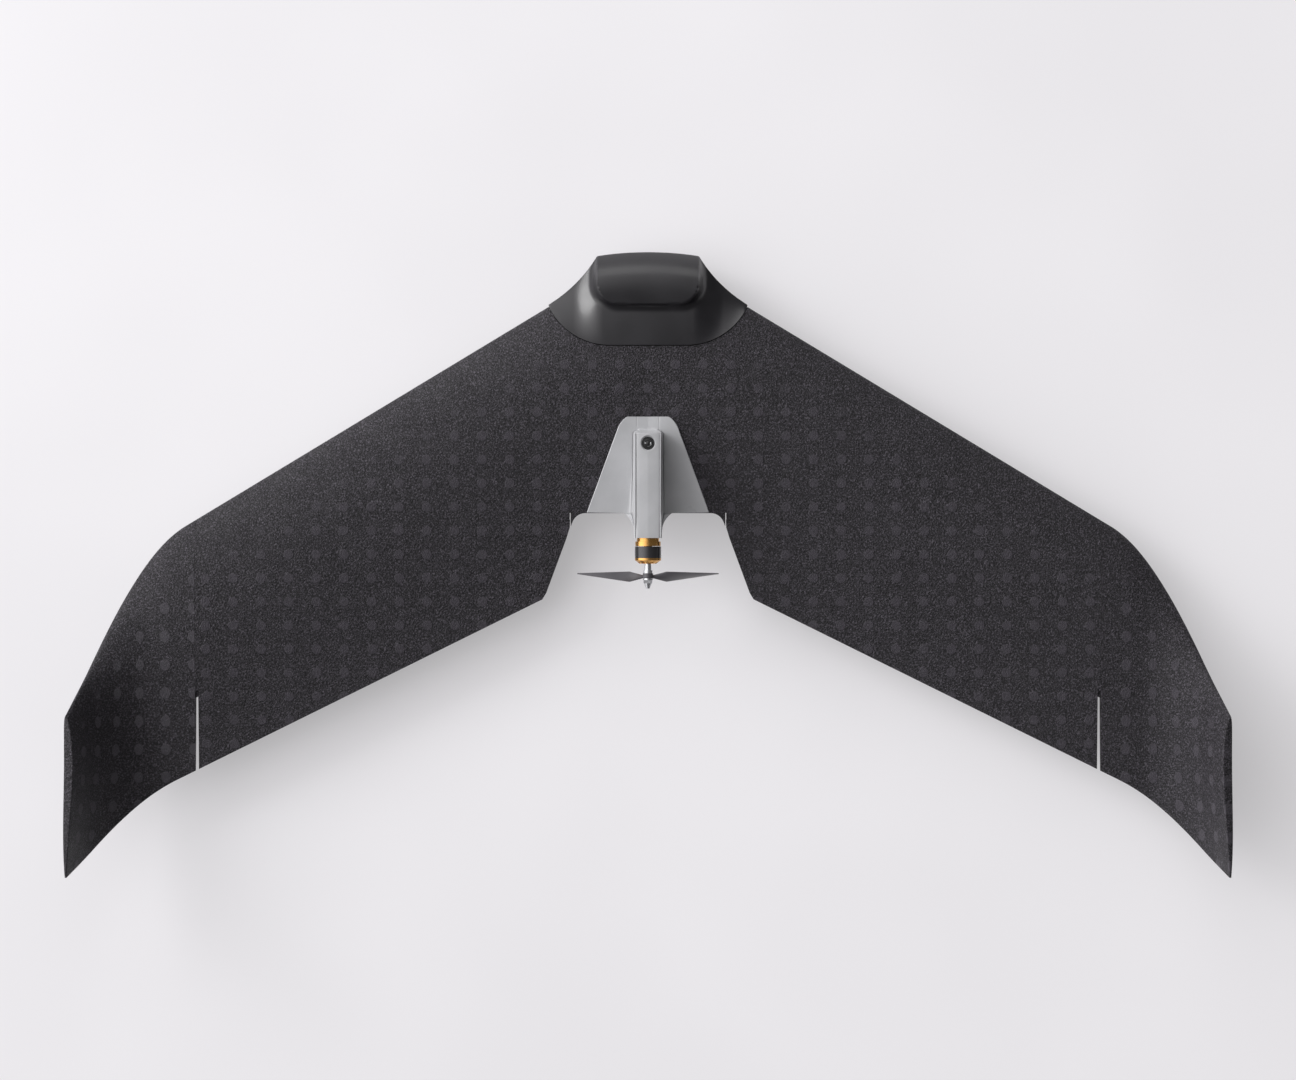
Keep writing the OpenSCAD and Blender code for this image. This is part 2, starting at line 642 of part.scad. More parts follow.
module motor_screws() {
    color([0.3, 0.3, 0.32]) {
        round_ring(4, screw_circle, -firewall_t, 3, 1, 45);
        round_ring(4, screw_circle, -firewall_t - 1.6, -firewall_t, 1.6, 45);
    }
}

module motor_base() {
    color([0.79, 0.55, 0.24]) difference() {
        union() {
            turned(0.02, base_len, 11);
            turned(base_len, 8, bell_r - 0.4);
            turned(8, can_from + 9.6, neck_r);
        }
        turned(-1, can_from + 12, 3.02);
        turned(5.5, 8.2, bell_r - 2, 5.5);
        round_ring(4, screw_circle, -1, 4, 1.02, 45);
        round_ring(3, 6.2, -1, 6, 1.1, 90);
    }
}

// Nine teeth carry the windings: a coil is wound round each, with the wire's thickness between
teeth = 9;
tooth_w = 2.6;
core_from = can_from + 1.6;
core_to = can_from + 9;
coil_in = 5;
coil_out = 8.8;
coil_gap = 0.1;
wire_t = 0.3;
end_wire_t = 1;

module on_teeth() {
    for (i = [0 : teeth - 1])
        translate([0, boom_end_y, motor_z]) rotate([90, 0, 0]) rotate([0, 0, 360 * i / teeth])
            children();
}

module stator_core() {
    color([0.35, 0.35, 0.37]) difference() {
        turned(core_from, core_to, bell_r - 2.4, neck_r + 0.01);
        difference() {
            turned(core_from - 1, core_to + 1, coil_out + 0.3, coil_in - coil_gap);
            on_teeth() translate([coil_in - 1, -tooth_w / 2, core_from - 2])
                cube([coil_out - coil_in + 2, tooth_w, core_to - core_from + 4]);
        }
    }
}

module stator_windings() {
    hole_w = tooth_w + 2 * coil_gap;
    hole_len = core_to - core_from + 2 * coil_gap;
    color([0.72, 0.4, 0.2]) on_teeth()
        translate([coil_in, -hole_w / 2 - wire_t, core_from - coil_gap - end_wire_t]) difference() {
            cube([coil_out - coil_in, hole_w + 2 * wire_t, hole_len + 2 * end_wire_t]);
            translate([-1, wire_t, end_wire_t]) cube([coil_out - coil_in + 2, hole_w, hole_len]);
        }
}

module motor_bearings() {
    color([0.7, 0.7, 0.72]) {
        turned(1, 4, 3, shaft_r + run_gap);
        turned(can_from + 6.4, can_from + 9.4, 3, shaft_r + run_gap);
    }
}

module motor_bell() {
    color([0.1, 0.1, 0.11]) turned(can_from, can_to, bell_r, bell_r - 0.9);
}

module bell_magnets() {
    arc_deg = 18;
    color([0.6, 0.6, 0.62]) for (i = [0 : 11])
        translate([0, boom_end_y - can_from - 1, motor_z]) rotate([90, 0, 0]) rotate([0, 0, 30 * i])
            rotate_extrude(angle = arc_deg, $fn = round_steps)
                translate([bell_r - 1.9, 0]) square([1, 8.4]);
}

module bell_end_cap() {
    color([0.79, 0.55, 0.24]) difference() {
        union() {
            turned(can_to, can_to + 2.2, bell_r);
            turned(can_to + 2.2, cap_to, bell_r, 0, 8.3);
        }
        turned(can_to - 1, can_to + 1.8, bell_r - 1.2, 4);
        turned(can_to - 1, cap_to + 1, shaft_r);
        round_ring(8, 8.7, can_to, cap_to + 1, 1.9, 22.5);
    }
}

module motor_shaft() {
    color([0.8, 0.8, 0.82]) difference() {
        turned(0.6, 31, shaft_r);
        turned(4.3, 4.9, shaft_r + 1, shaft_r - 0.3);
    }
}

module shaft_circlip() {
    color([0.3, 0.3, 0.3]) turned(4.35, 4.85, 2.6, shaft_r - 0.3);
}

stub_r = 2.5;
module prop_adapter() {
    color([0.75, 0.76, 0.78]) difference() {
        union() {
            turned(cap_to + 0.1, 32, 3.3);
            turned(32, hub_from - 0.1, 4.6);
            turned(32, 48, stub_r);
        }
        turned(cap_to - 1, 31, shaft_r);
    }
}

module prop_washer() { color([0.8, 0.8, 0.82]) turned(hub_to + 0.1, hub_to + 1.6, 5, stub_r); }

module prop_nut() {
    color([0.75, 0.76, 0.78]) difference() {
        union() {
            translate([0, boom_end_y - hub_to - 1.6, motor_z]) rotate([90, 0, 0])
                cylinder(h = 3.2, r = 4.3, $fn = 6);
            turned(hub_to + 4.8, 50, 3.9, 0, 2);
        }
        turned(hub_to, 48.05, stub_r);
    }
}

function blade_chord(r) = prop_r * (0.06 + 0.16 * smooth(0.05, 0.42, r / prop_r)
    - 0.172 * smooth(0.5, 1.03, r / prop_r));
function blade_ring(r) =
    let (
        pitch = min(64, atan(prop_pitch / (2 * PI * r))), c = blade_chord(r),
        t = lerp(1.9, 0.7, r / prop_r), mid = boom_end_y - (hub_from + hub_to) / 2
    )
    [for (a = [0 : 30 : 330])
        let (u = c / 2 * cos(a), v = t / 2 * sin(a))
        [r, mid + u * sin(pitch) - v * cos(pitch), motor_z + u * cos(pitch) + v * sin(pitch)]];

module propeller() {
    color([0.28, 0.27, 0.29]) difference() {
        union() {
            turned(hub_from, hub_to, 5.2);
            for (turn = [0, 180])
                translate([0, 0, motor_z]) rotate([0, turn, 0]) translate([0, 0, -motor_z])
                    skin([for (i = [0 : 12]) blade_ring(lerp(3.6, prop_r, i / 12))]);
        }
        turned(hub_from - 1, hub_to + 1, stub_r);
    }
}

module motor_leads() {
    color([0.1, 0.1, 0.1]) round_ring(3, 6.2, -32, 5.4, 0.8, 90);
}

// ---- power button, speed controller and electronics ----
board_z = button_top - 9;

module button_bezel() {
    color([0.08, 0.08, 0.08]) translate([0, button_y, 0]) difference() {
        translate([0, 0, board_z + 1.6])
            cylinder(h = button_top - 0.4 - board_z - 1.6, r = bezel_r, $fn = round_steps);
        translate([0, 0, board_z])
            cylinder(h = button_top - 2.4 - board_z, r = button_r + 1.1, $fn = round_steps);
        translate([0, 0, board_z]) cylinder(h = 20, r = button_r + 0.15, $fn = round_steps);
    }
}

module power_button() {
    color([0.12, 0.12, 0.13]) translate([0, button_y, 0]) {
        translate([0, 0, button_top - 4]) cylinder(h = 4.2, r = button_r, $fn = round_steps);
        translate([0, 0, button_top - 3.8]) cylinder(h = 1.2, r = button_r + 0.8, $fn = round_steps);
    }
}

module button_spring() {
    color([0.8, 0.8, 0.82]) translate([0, button_y, board_z + 1.7]) difference() {
        cylinder(h = button_top - 4.1 - board_z - 1.7, r = 3, $fn = fine_steps);
        translate([0, 0, -1]) cylinder(h = 12, r = 2.4, $fn = fine_steps);
    }
}

module switch_board() {
    color([0.1, 0.35, 0.2]) block([-8.2, 8.2], [button_y - 9, button_y + 7.5], [board_z, board_z + 1.5]);
}

esc_y = [boom_end_y + 32.2, boom_end_y + 80];
esc_z = [motor_z - 5, spine_z(boom_end_y + 32.2) - cowl_wall - 0.9];
module esc_board() {
    color([0.1, 0.35, 0.2]) {
        block([-8, 8], esc_y, [esc_z[0], esc_z[0] + 14]);
        for (i = [-2 : 2]) block([i * 3.4 - 0.7, i * 3.4 + 0.7], [esc_y[0] + 2, esc_y[1] - 2],
            [esc_z[0] + 14, esc_z[1]]);
    }
}

module_y = [aft(211), aft(164)];
module_z = [pack_bay_floor + 0.3, 36.5];
wire_y = esc_y[1] - 4;
module wire_hole() { translate([0, wire_y, deck_z - 8]) cylinder(h = 40, r = 6, $fn = fine_steps); }

module power_leads() {
    color([0.6, 0.1, 0.1]) both_sides()
        translate([2.6, wire_y, module_z[1] + 0.1])
            cylinder(h = esc_z[0] - module_z[1] - 0.2, r = 1.5, $fn = fine_steps);
}

module autopilot_module() {
    color([0.2, 0.2, 0.22]) difference() {
        translate([0, (module_y[0] + module_y[1]) / 2, module_z[0]])
            linear_extrude(module_z[1] - module_z[0]) polygon(rounded(56, module_y[1] - module_y[0], 4));
        for (x = [-18, 0, 18])
            block([x - 5, x + 5], [module_y[1] - 4, module_y[1] + 1], [module_z[1] - 9, module_z[1] - 4]);
    }
}

pack_y = [aft(160), aft(60)];
pack_z = [pack_bay_floor + 1.5, pack_bay_floor + 24];
pack_w = 36;
module battery_pack() {
    color([0.13, 0.13, 0.15]) {
        translate([0, (pack_y[0] + pack_y[1]) / 2, pack_z[0]])
            linear_extrude(pack_z[1] - pack_z[0]) polygon(rounded(pack_w, pack_y[1] - pack_y[0], 3));
        block([-6, 6], [pack_y[1] - 1, pack_y[1] + 7], [pack_z[0] + 6, pack_z[0] + 14]);
    }
}

module battery_strap() {
    half = pack_w / 2;
    color([0.1, 0.1, 0.1]) difference() {
        block([-half - 1.5, half + 1.5], [aft(118), aft(106)], [pack_bay_floor + 0.1, pack_z[1] + 1.5]);
        block([-half - 0.3, half + 0.3], [aft(119), aft(105)], [pack_z[0] - 0.3, pack_z[1] + 0.3]);
    }
}

gps_x = [-71, -49];
gps_y = [aft(70), aft(48)];
gps_z = [deck_z - 2, deck_z + 4];
module gps_antenna() {
    color([0.75, 0.7, 0.6]) {
        block(gps_x, gps_y, [gps_z[0], gps_z[0] + 2.4]);
        block(gps_x + [3, -3], gps_y + [3, -3], [gps_z[0] + 2.4, gps_z[1]]);
    }
}

// ---- nose camera and belly sensor ----
camera_z = 23;
lens_r = 9;
module along(y0, y1, r, r2 = -1) {
    translate([0, y0, camera_z]) rotate([-90, 0, 0])
        cylinder(h = y1 - y0, r1 = r, r2 = r2 < 0 ? r : r2, $fn = round_steps);
}

module camera_bore() { along(aft(pack_bay_front + 1), nose_y + 10, 12.9); }

module camera_body() {
    color([0.1, 0.1, 0.11]) difference() {
        union() {
            along(aft(27), aft(8), 10);
            along(aft(27), aft(22), 12.6);
        }
        along(aft(12), aft(7), lens_r + 0.1);
    }
}

module camera_lens() {
    dome = 14;
    color([0.15, 0.2, 0.3]) intersection() {
        along(aft(11.9), nose_y, lens_r);
        translate([0, aft(2.4) - dome, camera_z]) sphere(r = dome, $fn = round_steps);
    }
}

module camera_bezel() {
    color([0.3, 0.3, 0.32]) difference() {
        along(aft(21.8), aft(3.6), 12.6);
        along(aft(23), aft(3), 10.2);
    }
}

sensor_y = aft(180);
sensor_r = 9;
module belly_sensor() {
    color([0.2, 0.2, 0.2]) translate([0, sensor_y, keel_z + 0.5]) difference() {
        cylinder(h = pack_bay_floor - keel_z - 0.5, r = sensor_r, $fn = round_steps);
        translate([0, 3.6, -1]) cylinder(h = 2.5, r = 3, $fn = fine_steps);
        translate([0, -4.4, -1]) cylinder(h = 2, r = 1.8, $fn = fine_steps);
    }
}

module belly_skids() {
    color([0.2, 0.2, 0.21]) both_sides() translate([24, aft(135), 0])
        linear_extrude(keel_z) polygon(rounded(8, 110, 3.9));
}

// ---- elevon linkage, in the hinge's frame ----
servo_len = 23;
servo_wide = 12;
servo_high = 24;
shaft_offset = 6;
arm_t = 1.6;
pin_gap = 0.05;
slot_w = 9;
slot_swing = 14;
horn_hole_z = hinge_z - arm_r;

module servo_body(grow) {
    translate([-servo_high - grow, link_run - servo_len + shaft_offset - grow,
        servo_z - servo_wide / 2 - grow])
        cube([servo_high + 2 * grow, servo_len + 2 * grow, servo_wide + 2 * grow]);
}

module across(x0, x1, y, z, r) {
    translate([x0, y, z]) rotate([0, 90, 0]) cylinder(h = x1 - x0, r = r, $fn = fine_steps);
}

module servo_pocket() {
    on_hinge(link_x) {
        servo_body(glue_gap);
        translate([-servo_high - glue_gap, link_run - servo_len + shaft_offset - glue_gap, 0])
            cube([servo_high + 2 * glue_gap, servo_len + 2 * glue_gap, servo_z]);
        translate([-0.5, link_run - slot_swing, 0]) cube([slot_w, 2 * slot_swing, servo_z + 6]);
        translate([-1.5, -1, 0]) cube([slot_w, slot_swing + 2, horn_hole_z + 9]);
    }
}

module servo() {
    color([0.15, 0.15, 0.3]) on_hinge(link_x) {
        servo_body(0);
        across(0, 1.2, link_run, servo_z, 4);
        across(1.2, 3, link_run, servo_z, 2);
    }
}
module servo_right() { servo(); }
module servo_left() { mirror([1, 0, 0]) servo(); }

arm_x = 1.6;
module servo_arm() {
    color([0.85, 0.85, 0.83]) on_hinge(link_x) difference() {
        translate([arm_x, 0, 0]) rotate([90, 0, 90]) linear_extrude(arm_t) polygon(concat(
            arc(link_run, servo_z, 4.2, 0, 180), arc(link_run, servo_z - arm_r, 2.4, 180, 360)));
        across(arm_x - 1, arm_x + arm_t + 1, link_run, servo_z, 2 + run_gap);
        across(arm_x - 1, arm_x + arm_t + 1, link_run, servo_z - arm_r, rod_r + pin_gap);
    }
}
module servo_arm_right() { servo_arm(); }
module servo_arm_left() { mirror([1, 0, 0]) servo_arm(); }

module arm_screw() {
    color([0.6, 0.6, 0.62]) on_hinge(link_x)
        across(arm_x + arm_t, arm_x + arm_t + 1.2, link_run, servo_z, 2.8);
}
module servo_arm_screw_right() { arm_screw(); }
module servo_arm_screw_left() { mirror([1, 0, 0]) arm_screw(); }

rod_x = arm_x + arm_t + 1.2;
module pushrod() {
    low = servo_z - arm_r;
    lift = horn_hole_z - low;
    color([0.7, 0.7, 0.72]) on_hinge(link_x) {
        translate([rod_x, link_run, low]) rotate([90 - atan(lift / link_run), 0, 0])
            translate([0, 0, -0.5])
                cylinder(h = norm([link_run, lift]) + 1, r = rod_r + 0.2, $fn = fine_steps);
        across(arm_x - 0.6, rod_x + rod_r, link_run, low, rod_r);
        across(arm_x - 0.9, rod_x + rod_r, 0, horn_hole_z, rod_r);
    }
}
module pushrod_right() { pushrod(); }
module pushrod_left() { mirror([1, 0, 0]) pushrod(); }

module control_horn() {
    color([0.85, 0.85, 0.83]) on_hinge(link_x) difference() {
        horn_plate();
        across(0, 6, 0, horn_hole_z, rod_r + 0.5);
    }
}
module control_horn_right() { control_horn(); }
module control_horn_left() { mirror([1, 0, 0]) control_horn(); }

// Flat servo lead in its groove, from the servo to the autopilot
module lead_ribbon(grow) {
    hinge_run = link_run - servo_len / 2 + shaft_offset;
    from = [29, (module_y[0] + module_y[1]) / 2];
    to = [link_x - (servo_high + 0.3) * cos(hinge_angle) + hinge_run * sin(hinge_angle),
        hinge_y(link_x) + (servo_high + 0.3) * sin(hinge_angle) + hinge_run * cos(hinge_angle)];
    span = to - from;
    translate([from[0], from[1], 34.6]) rotate([0, 0, atan2(span[1], span[0])])
        translate([-grow, -1.8 - grow, -0.6 - grow])
            cube([norm(span) + 2 * grow, 3.6 + 2 * grow, 1.2 + 2 * grow]);
}
module servo_leads() { color([0.3, 0.15, 0.1]) both_sides() lead_ribbon(0); }

// ---- stiffeners in the foam ----
spar_angle = atan2(lerp(le_y(430), te_y(430), 0.4) - lerp(le_y(30), te_y(30), 0.455), 400);
spar_root_y = lerp(le_y(0), te_y(0), 0.4);
module spar_tube(r, end_cut, start_cut) {
    translate([0, spar_root_y, spar_z]) rotate([0, 90, spar_angle])
        translate([0, 0, 16 - start_cut])
            cylinder(h = spar_len - 16 + start_cut + end_cut, r = r, $fn = fine_steps);
}
spar_len = (panel_half_span - 22) / cos(spar_angle);
module main_spars() {
    color([0.12, 0.12, 0.13]) both_sides() difference() {
        spar_tube(spar_r, 0, 0);
        translate([0, spar_root_y, spar_z]) rotate([0, 90, spar_angle])
            cylinder(h = spar_len + 10, r = spar_r - 1, $fn = fine_steps);
    }
}

module joiner_block(grow, down) {
    block([-34 - grow, 34 + grow], [spar_root_y - 25 - grow, spar_root_y + 1 + grow],
        [deck_z + 0.3 - down, spar_z + spar_r + 2 + grow]);
}
module spar_joiner() {
    color([0.2, 0.2, 0.2]) difference() {
        joiner_block(0, 0);
        both_sides() spar_tube(spar_r + 0.05, 0, 1);
    }
}

module stiffener(r, extra) {
    start = 120 / cos(hinge_angle);
    end = (panel_half_span - 30) / cos(hinge_angle);
    on_hinge() translate([start - extra, strip_w, hinge_z - 6.5]) rotate([0, 90, 0])
        cylinder(h = end - start + 2 * extra, r = r, $fn = fine_steps);
}
module rear_rods() { color([0.12, 0.12, 0.13]) both_sides() stiffener(stiff_r, 0); }

module pegs(r) {
    extra = r > stiff_r ? 1 : 0;
    for (f = [0.2, 0.52])
        translate([panel_half_span - 20 - extra,
            lerp(le_y(panel_half_span), te_y(panel_half_span), f), spar_z - 1])
            rotate([0, 90, 0]) cylinder(h = 40 + 2 * extra, r = r, $fn = fine_steps);
}
module winglet_pegs() { color([0.12, 0.12, 0.13]) both_sides() pegs(stiff_r); }

wing_foam();
belly_foam();
winglet_left();
winglet_right();
elevon_left();
elevon_right();
elevon_hinge_left();
elevon_hinge_right();
hood();
hood_magnets();
deck_magnets();
motor_cowl();
motor_boom();
cowl_studs();
motor_firewall();
motor_screws();
motor_base();
stator_core();
stator_windings();
motor_bearings();
motor_bell();
bell_end_cap();
bell_magnets();
motor_shaft();
shaft_circlip();
prop_adapter();
propeller();
prop_washer();
prop_nut();
motor_leads();
power_leads();
power_button();
button_bezel();
button_spring();
switch_board();
servo_left();
servo_right();
servo_arm_left();
servo_arm_right();
servo_arm_screw_left();
servo_arm_screw_right();
pushrod_left();
pushrod_right();
control_horn_left();
control_horn_right();
servo_leads();
battery_pack();
battery_strap();
autopilot_module();
esc_board();
gps_antenna();
camera_body();
camera_lens();
camera_bezel();
main_spars();
spar_joiner();
rear_rods();
winglet_pegs();
belly_skids();
belly_sensor();
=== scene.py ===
"""The finished look of a swept flying-wing foam aeroplane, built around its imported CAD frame.

X points to the right wing, Y to the nose and Z up. Every length is in metres.
"""
import logging
import math
from collections.abc import Callable, Sequence
from dataclasses import dataclass
from enum import Enum

import bmesh
import bpy
import numpy as np
from mathutils import Matrix, Vector


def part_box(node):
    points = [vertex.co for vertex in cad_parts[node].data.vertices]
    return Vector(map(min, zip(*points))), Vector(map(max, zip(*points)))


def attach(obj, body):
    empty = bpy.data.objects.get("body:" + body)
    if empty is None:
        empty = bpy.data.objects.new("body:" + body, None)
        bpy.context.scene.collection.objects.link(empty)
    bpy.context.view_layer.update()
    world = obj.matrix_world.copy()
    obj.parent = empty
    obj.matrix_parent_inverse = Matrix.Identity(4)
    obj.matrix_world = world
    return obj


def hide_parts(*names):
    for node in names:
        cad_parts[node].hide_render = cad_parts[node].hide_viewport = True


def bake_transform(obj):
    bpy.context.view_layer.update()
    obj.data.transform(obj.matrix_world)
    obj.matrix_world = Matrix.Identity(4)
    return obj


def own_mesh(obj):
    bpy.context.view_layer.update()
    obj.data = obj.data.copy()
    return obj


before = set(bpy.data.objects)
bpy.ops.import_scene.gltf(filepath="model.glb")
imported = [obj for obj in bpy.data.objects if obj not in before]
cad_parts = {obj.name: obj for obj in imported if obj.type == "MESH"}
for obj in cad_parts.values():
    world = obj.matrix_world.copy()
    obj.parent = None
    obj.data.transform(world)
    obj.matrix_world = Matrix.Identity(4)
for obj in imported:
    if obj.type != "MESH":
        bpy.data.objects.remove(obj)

LOG = logging.getLogger("flying_wing")
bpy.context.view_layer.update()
MM = 0.001
WELD = 1e-6

Point = tuple[float, float, float]
Ring = list[Point]


def lerp(a: float, b: float, t: float) -> float:
    """Returns the value a share t of the way from a to b."""
    return a + (b - a) * t


def clamp(v: float) -> float:
    """Returns v held between 0 and 1."""
    return min(1.0, max(0.0, v))


def smooth(a: float, b: float, v: float) -> float:
    """Returns 0 below a, 1 above b and a smooth step between them."""
    t = clamp((v - a) / (b - a))
    return t * t * (3 - 2 * t)


def quarter(t: float) -> float:
    """Returns the height of a quarter circle, 0 at t = 0 and 1 at t = 1."""
    return math.sqrt(1 - (1 - clamp(t)) ** 2)


def spread(a: float, b: float, step: float) -> list[float]:
    """Returns evenly spread values from a to b, about a step apart."""
    count = max(1, round(abs(b - a) / step))
    return [lerp(a, b, i / count) for i in range(count + 1)]


# ---- meshes -------------------------------------------------------------------------------


def mesh_piece(name: str, points: Sequence[Point], faces: Sequence[Sequence[int]],
               crease_deg: float = 32) -> bpy.types.Object:
    """Makes a clean, smooth-shaded mesh object.

    Args:
        name: Name of the piece.
        points: Its corners.
        faces: Lists of corner indices.
        crease_deg: Edges that bend more than this stay sharp.

    Returns:
        The new object, linked to the scene.
    """
    mesh = bpy.data.meshes.new(name)
    mesh.from_pydata(points, [], faces)
    piece = bpy.data.objects.new(name, mesh)
    bpy.context.scene.collection.objects.link(piece)
    tidy_mesh(piece, crease_deg)
    return piece


def tidy_mesh(piece: bpy.types.Object, crease_deg: float = 32) -> None:
    """Welds double corners, turns the faces outward and shades the piece smooth.

    Args:
        piece: The mesh object.
        crease_deg: Edges that bend more than this stay sharp.
    """
    shape = bmesh.new()
    shape.from_mesh(piece.data)
    bmesh.ops.remove_doubles(shape, verts=shape.verts, dist=WELD)
    bmesh.ops.dissolve_degenerate(shape, edges=shape.edges, dist=WELD)
    loose = [v for v in shape.verts if not v.link_faces]
    bmesh.ops.delete(shape, geom=loose, context="VERTS")
    bmesh.ops.recalc_face_normals(shape, faces=shape.faces)
    shape.to_mesh(piece.data)
    shape.free()
    piece.data.polygons.foreach_set("use_smooth", [True] * len(piece.data.polygons))
    piece.data.set_sharp_from_angle(angle=math.radians(crease_deg))


def loft(name: str, rings: Sequence[Ring], crease_deg: float = 32, around: bool = True,
         caps: bool = True) -> bpy.types.Object:
    """Joins rings of points into one skin.

    Args:
        name: Name of the piece.
        rings: Rings with the same number of points each.
        crease_deg: Edges that bend more than this stay sharp.
        around: Whether the last ring also joins the first one, as on a torus.
        caps: Whether the first and the last ring are closed with a face.

    Returns:
        The new object.
    """
    size = len(rings[0])
    points = [p for ring in rings for p in ring]
    faces = []
    for r in range(len(rings) - 1):
        for k in range(size if around else size - 1):
            a, b = r * size + k, r * size + (k + 1) % size
            faces.append((a, a + size, b + size, b))
    if caps:
        faces.append(tuple(range(size)))
        faces.append(tuple(reversed(range((len(rings) - 1) * size, len(rings) * size))))
    return mesh_piece(name, points, faces, crease_deg)


def lathe(name: str, profile: Sequence[tuple[float, float]], centre: Point, axis: str = "y",
          steps: int = 72, crease_deg: float = 28) -> bpy.types.Object:
    """Turns a closed profile about an axis.

    Args:
        name: Name of the piece.
        profile: Pairs of place along the axis and radius, round the cut face.
        centre: Where the axis starts.
        axis: "y" for an axis that runs aft, "z" for one that runs up.
        steps: Number of segments round.
        crease_deg: Edges that bend more than this stay sharp.

    Returns:
        The new object.
    """
    rings = []
    for i in range(steps + 1):
        a = 2 * math.pi * i / steps
        if axis == "y":
            rings.append([(centre[0] + r * math.cos(a), centre[1] - z, centre[2] + r * math.sin(a))
                          for z, r in profile])
        else:
            rings.append([(centre[0] + r * math.cos(a), centre[1] + r * math.sin(a), centre[2] + z)
                          for z, r in profile])
    return loft(name, rings, crease_deg, caps=False)


def box_piece(name: str, low: Point, high: Point) -> bpy.types.Object:
    """Makes a plain box between two corners, used as a cutter."""
    points = [(x, y, z) for x in (low[0], high[0]) for y in (low[1], high[1]) for z in (low[2], high[2])]
    faces = [(0, 1, 3, 2), (4, 6, 7, 5), (0, 4, 5, 1), (2, 3, 7, 6), (0, 2, 6, 4), (1, 5, 7, 3)]
    return mesh_piece(name, points, faces)


def rod_piece(name: str, start: Point, end: Point, r: float, r_end: float | None = None,
              steps: int = 40) -> bpy.types.Object:
    """Makes a plain round rod between two points."""
    a, b = Vector(start), Vector(end)
    turn = (b - a).to_track_quat("Z", "Y").to_matrix()
    rings = [[tuple(p + turn @ Vector((q * math.cos(t), q * math.sin(t), 0)))
              for t in np.linspace(0, 2 * math.pi, steps, endpoint=False)]
             for p, q in ((a, r), (b, r if r_end is None else r_end))]
    return loft(name, rings)


def carve(piece: bpy.types.Object, cutters: Sequence[bpy.types.Object], crease_deg: float = 32) -> None:
    """Takes the cutters' shapes out of a piece, and removes the cutters.

    Args:
        piece: The mesh object that is cut.
        cutters: Closed mesh objects.
        crease_deg: Edges that bend more than this stay sharp.
    """
    for cutter in cutters:
        step = piece.modifiers.new("carve", "BOOLEAN")
        step.operation = "DIFFERENCE"
        step.solver = "EXACT"
        step.object = cutter
    bake_modifiers(piece)
    for cutter in cutters:
        bpy.data.objects.remove(cutter)
    tidy_mesh(piece, crease_deg)


def merge(piece: bpy.types.Object, others: Sequence[bpy.types.Object], crease_deg: float = 32) -> None:
    """Puts other closed meshes into a piece's mesh, and removes their objects.

    Args:
        piece: The mesh object that grows.
        others: The mesh objects that it takes in.
        crease_deg: Edges that bend more than this stay sharp.
    """
    shape = bmesh.new()
    for mesh in [piece.data] + [other.data for other in others]:
        shape.from_mesh(mesh)
    shape.to_mesh(piece.data)
    shape.free()
    for other in others:
        bpy.data.objects.remove(other)
    tidy_mesh(piece, crease_deg)


def bake_modifiers(piece: bpy.types.Object) -> None:
    """Turns a piece's modifiers into its mesh."""
    bpy.context.view_layer.update()
    graph = bpy.context.evaluated_depsgraph_get()
    mesh = bpy.data.meshes.new_from_object(piece.evaluated_get(graph))
    piece.modifiers.clear()
    piece.data = mesh


def bevel(piece: bpy.types.Object, width: float, segments: int = 2) -> None:
    """Rounds a piece's sharp edges with a bevel that keeps its outer size."""
    step = piece.modifiers.new("soft_edges", "BEVEL")
    step.width = width
    step.segments = segments
    step.limit_method = "ANGLE"
    step.angle_limit = math.radians(35)
    step.harden_normals = False


# ---- finishes -----------------------------------------------------------------------------

Socket = bpy.types.NodeSocket
Value = float | tuple[float, ...] | Socket


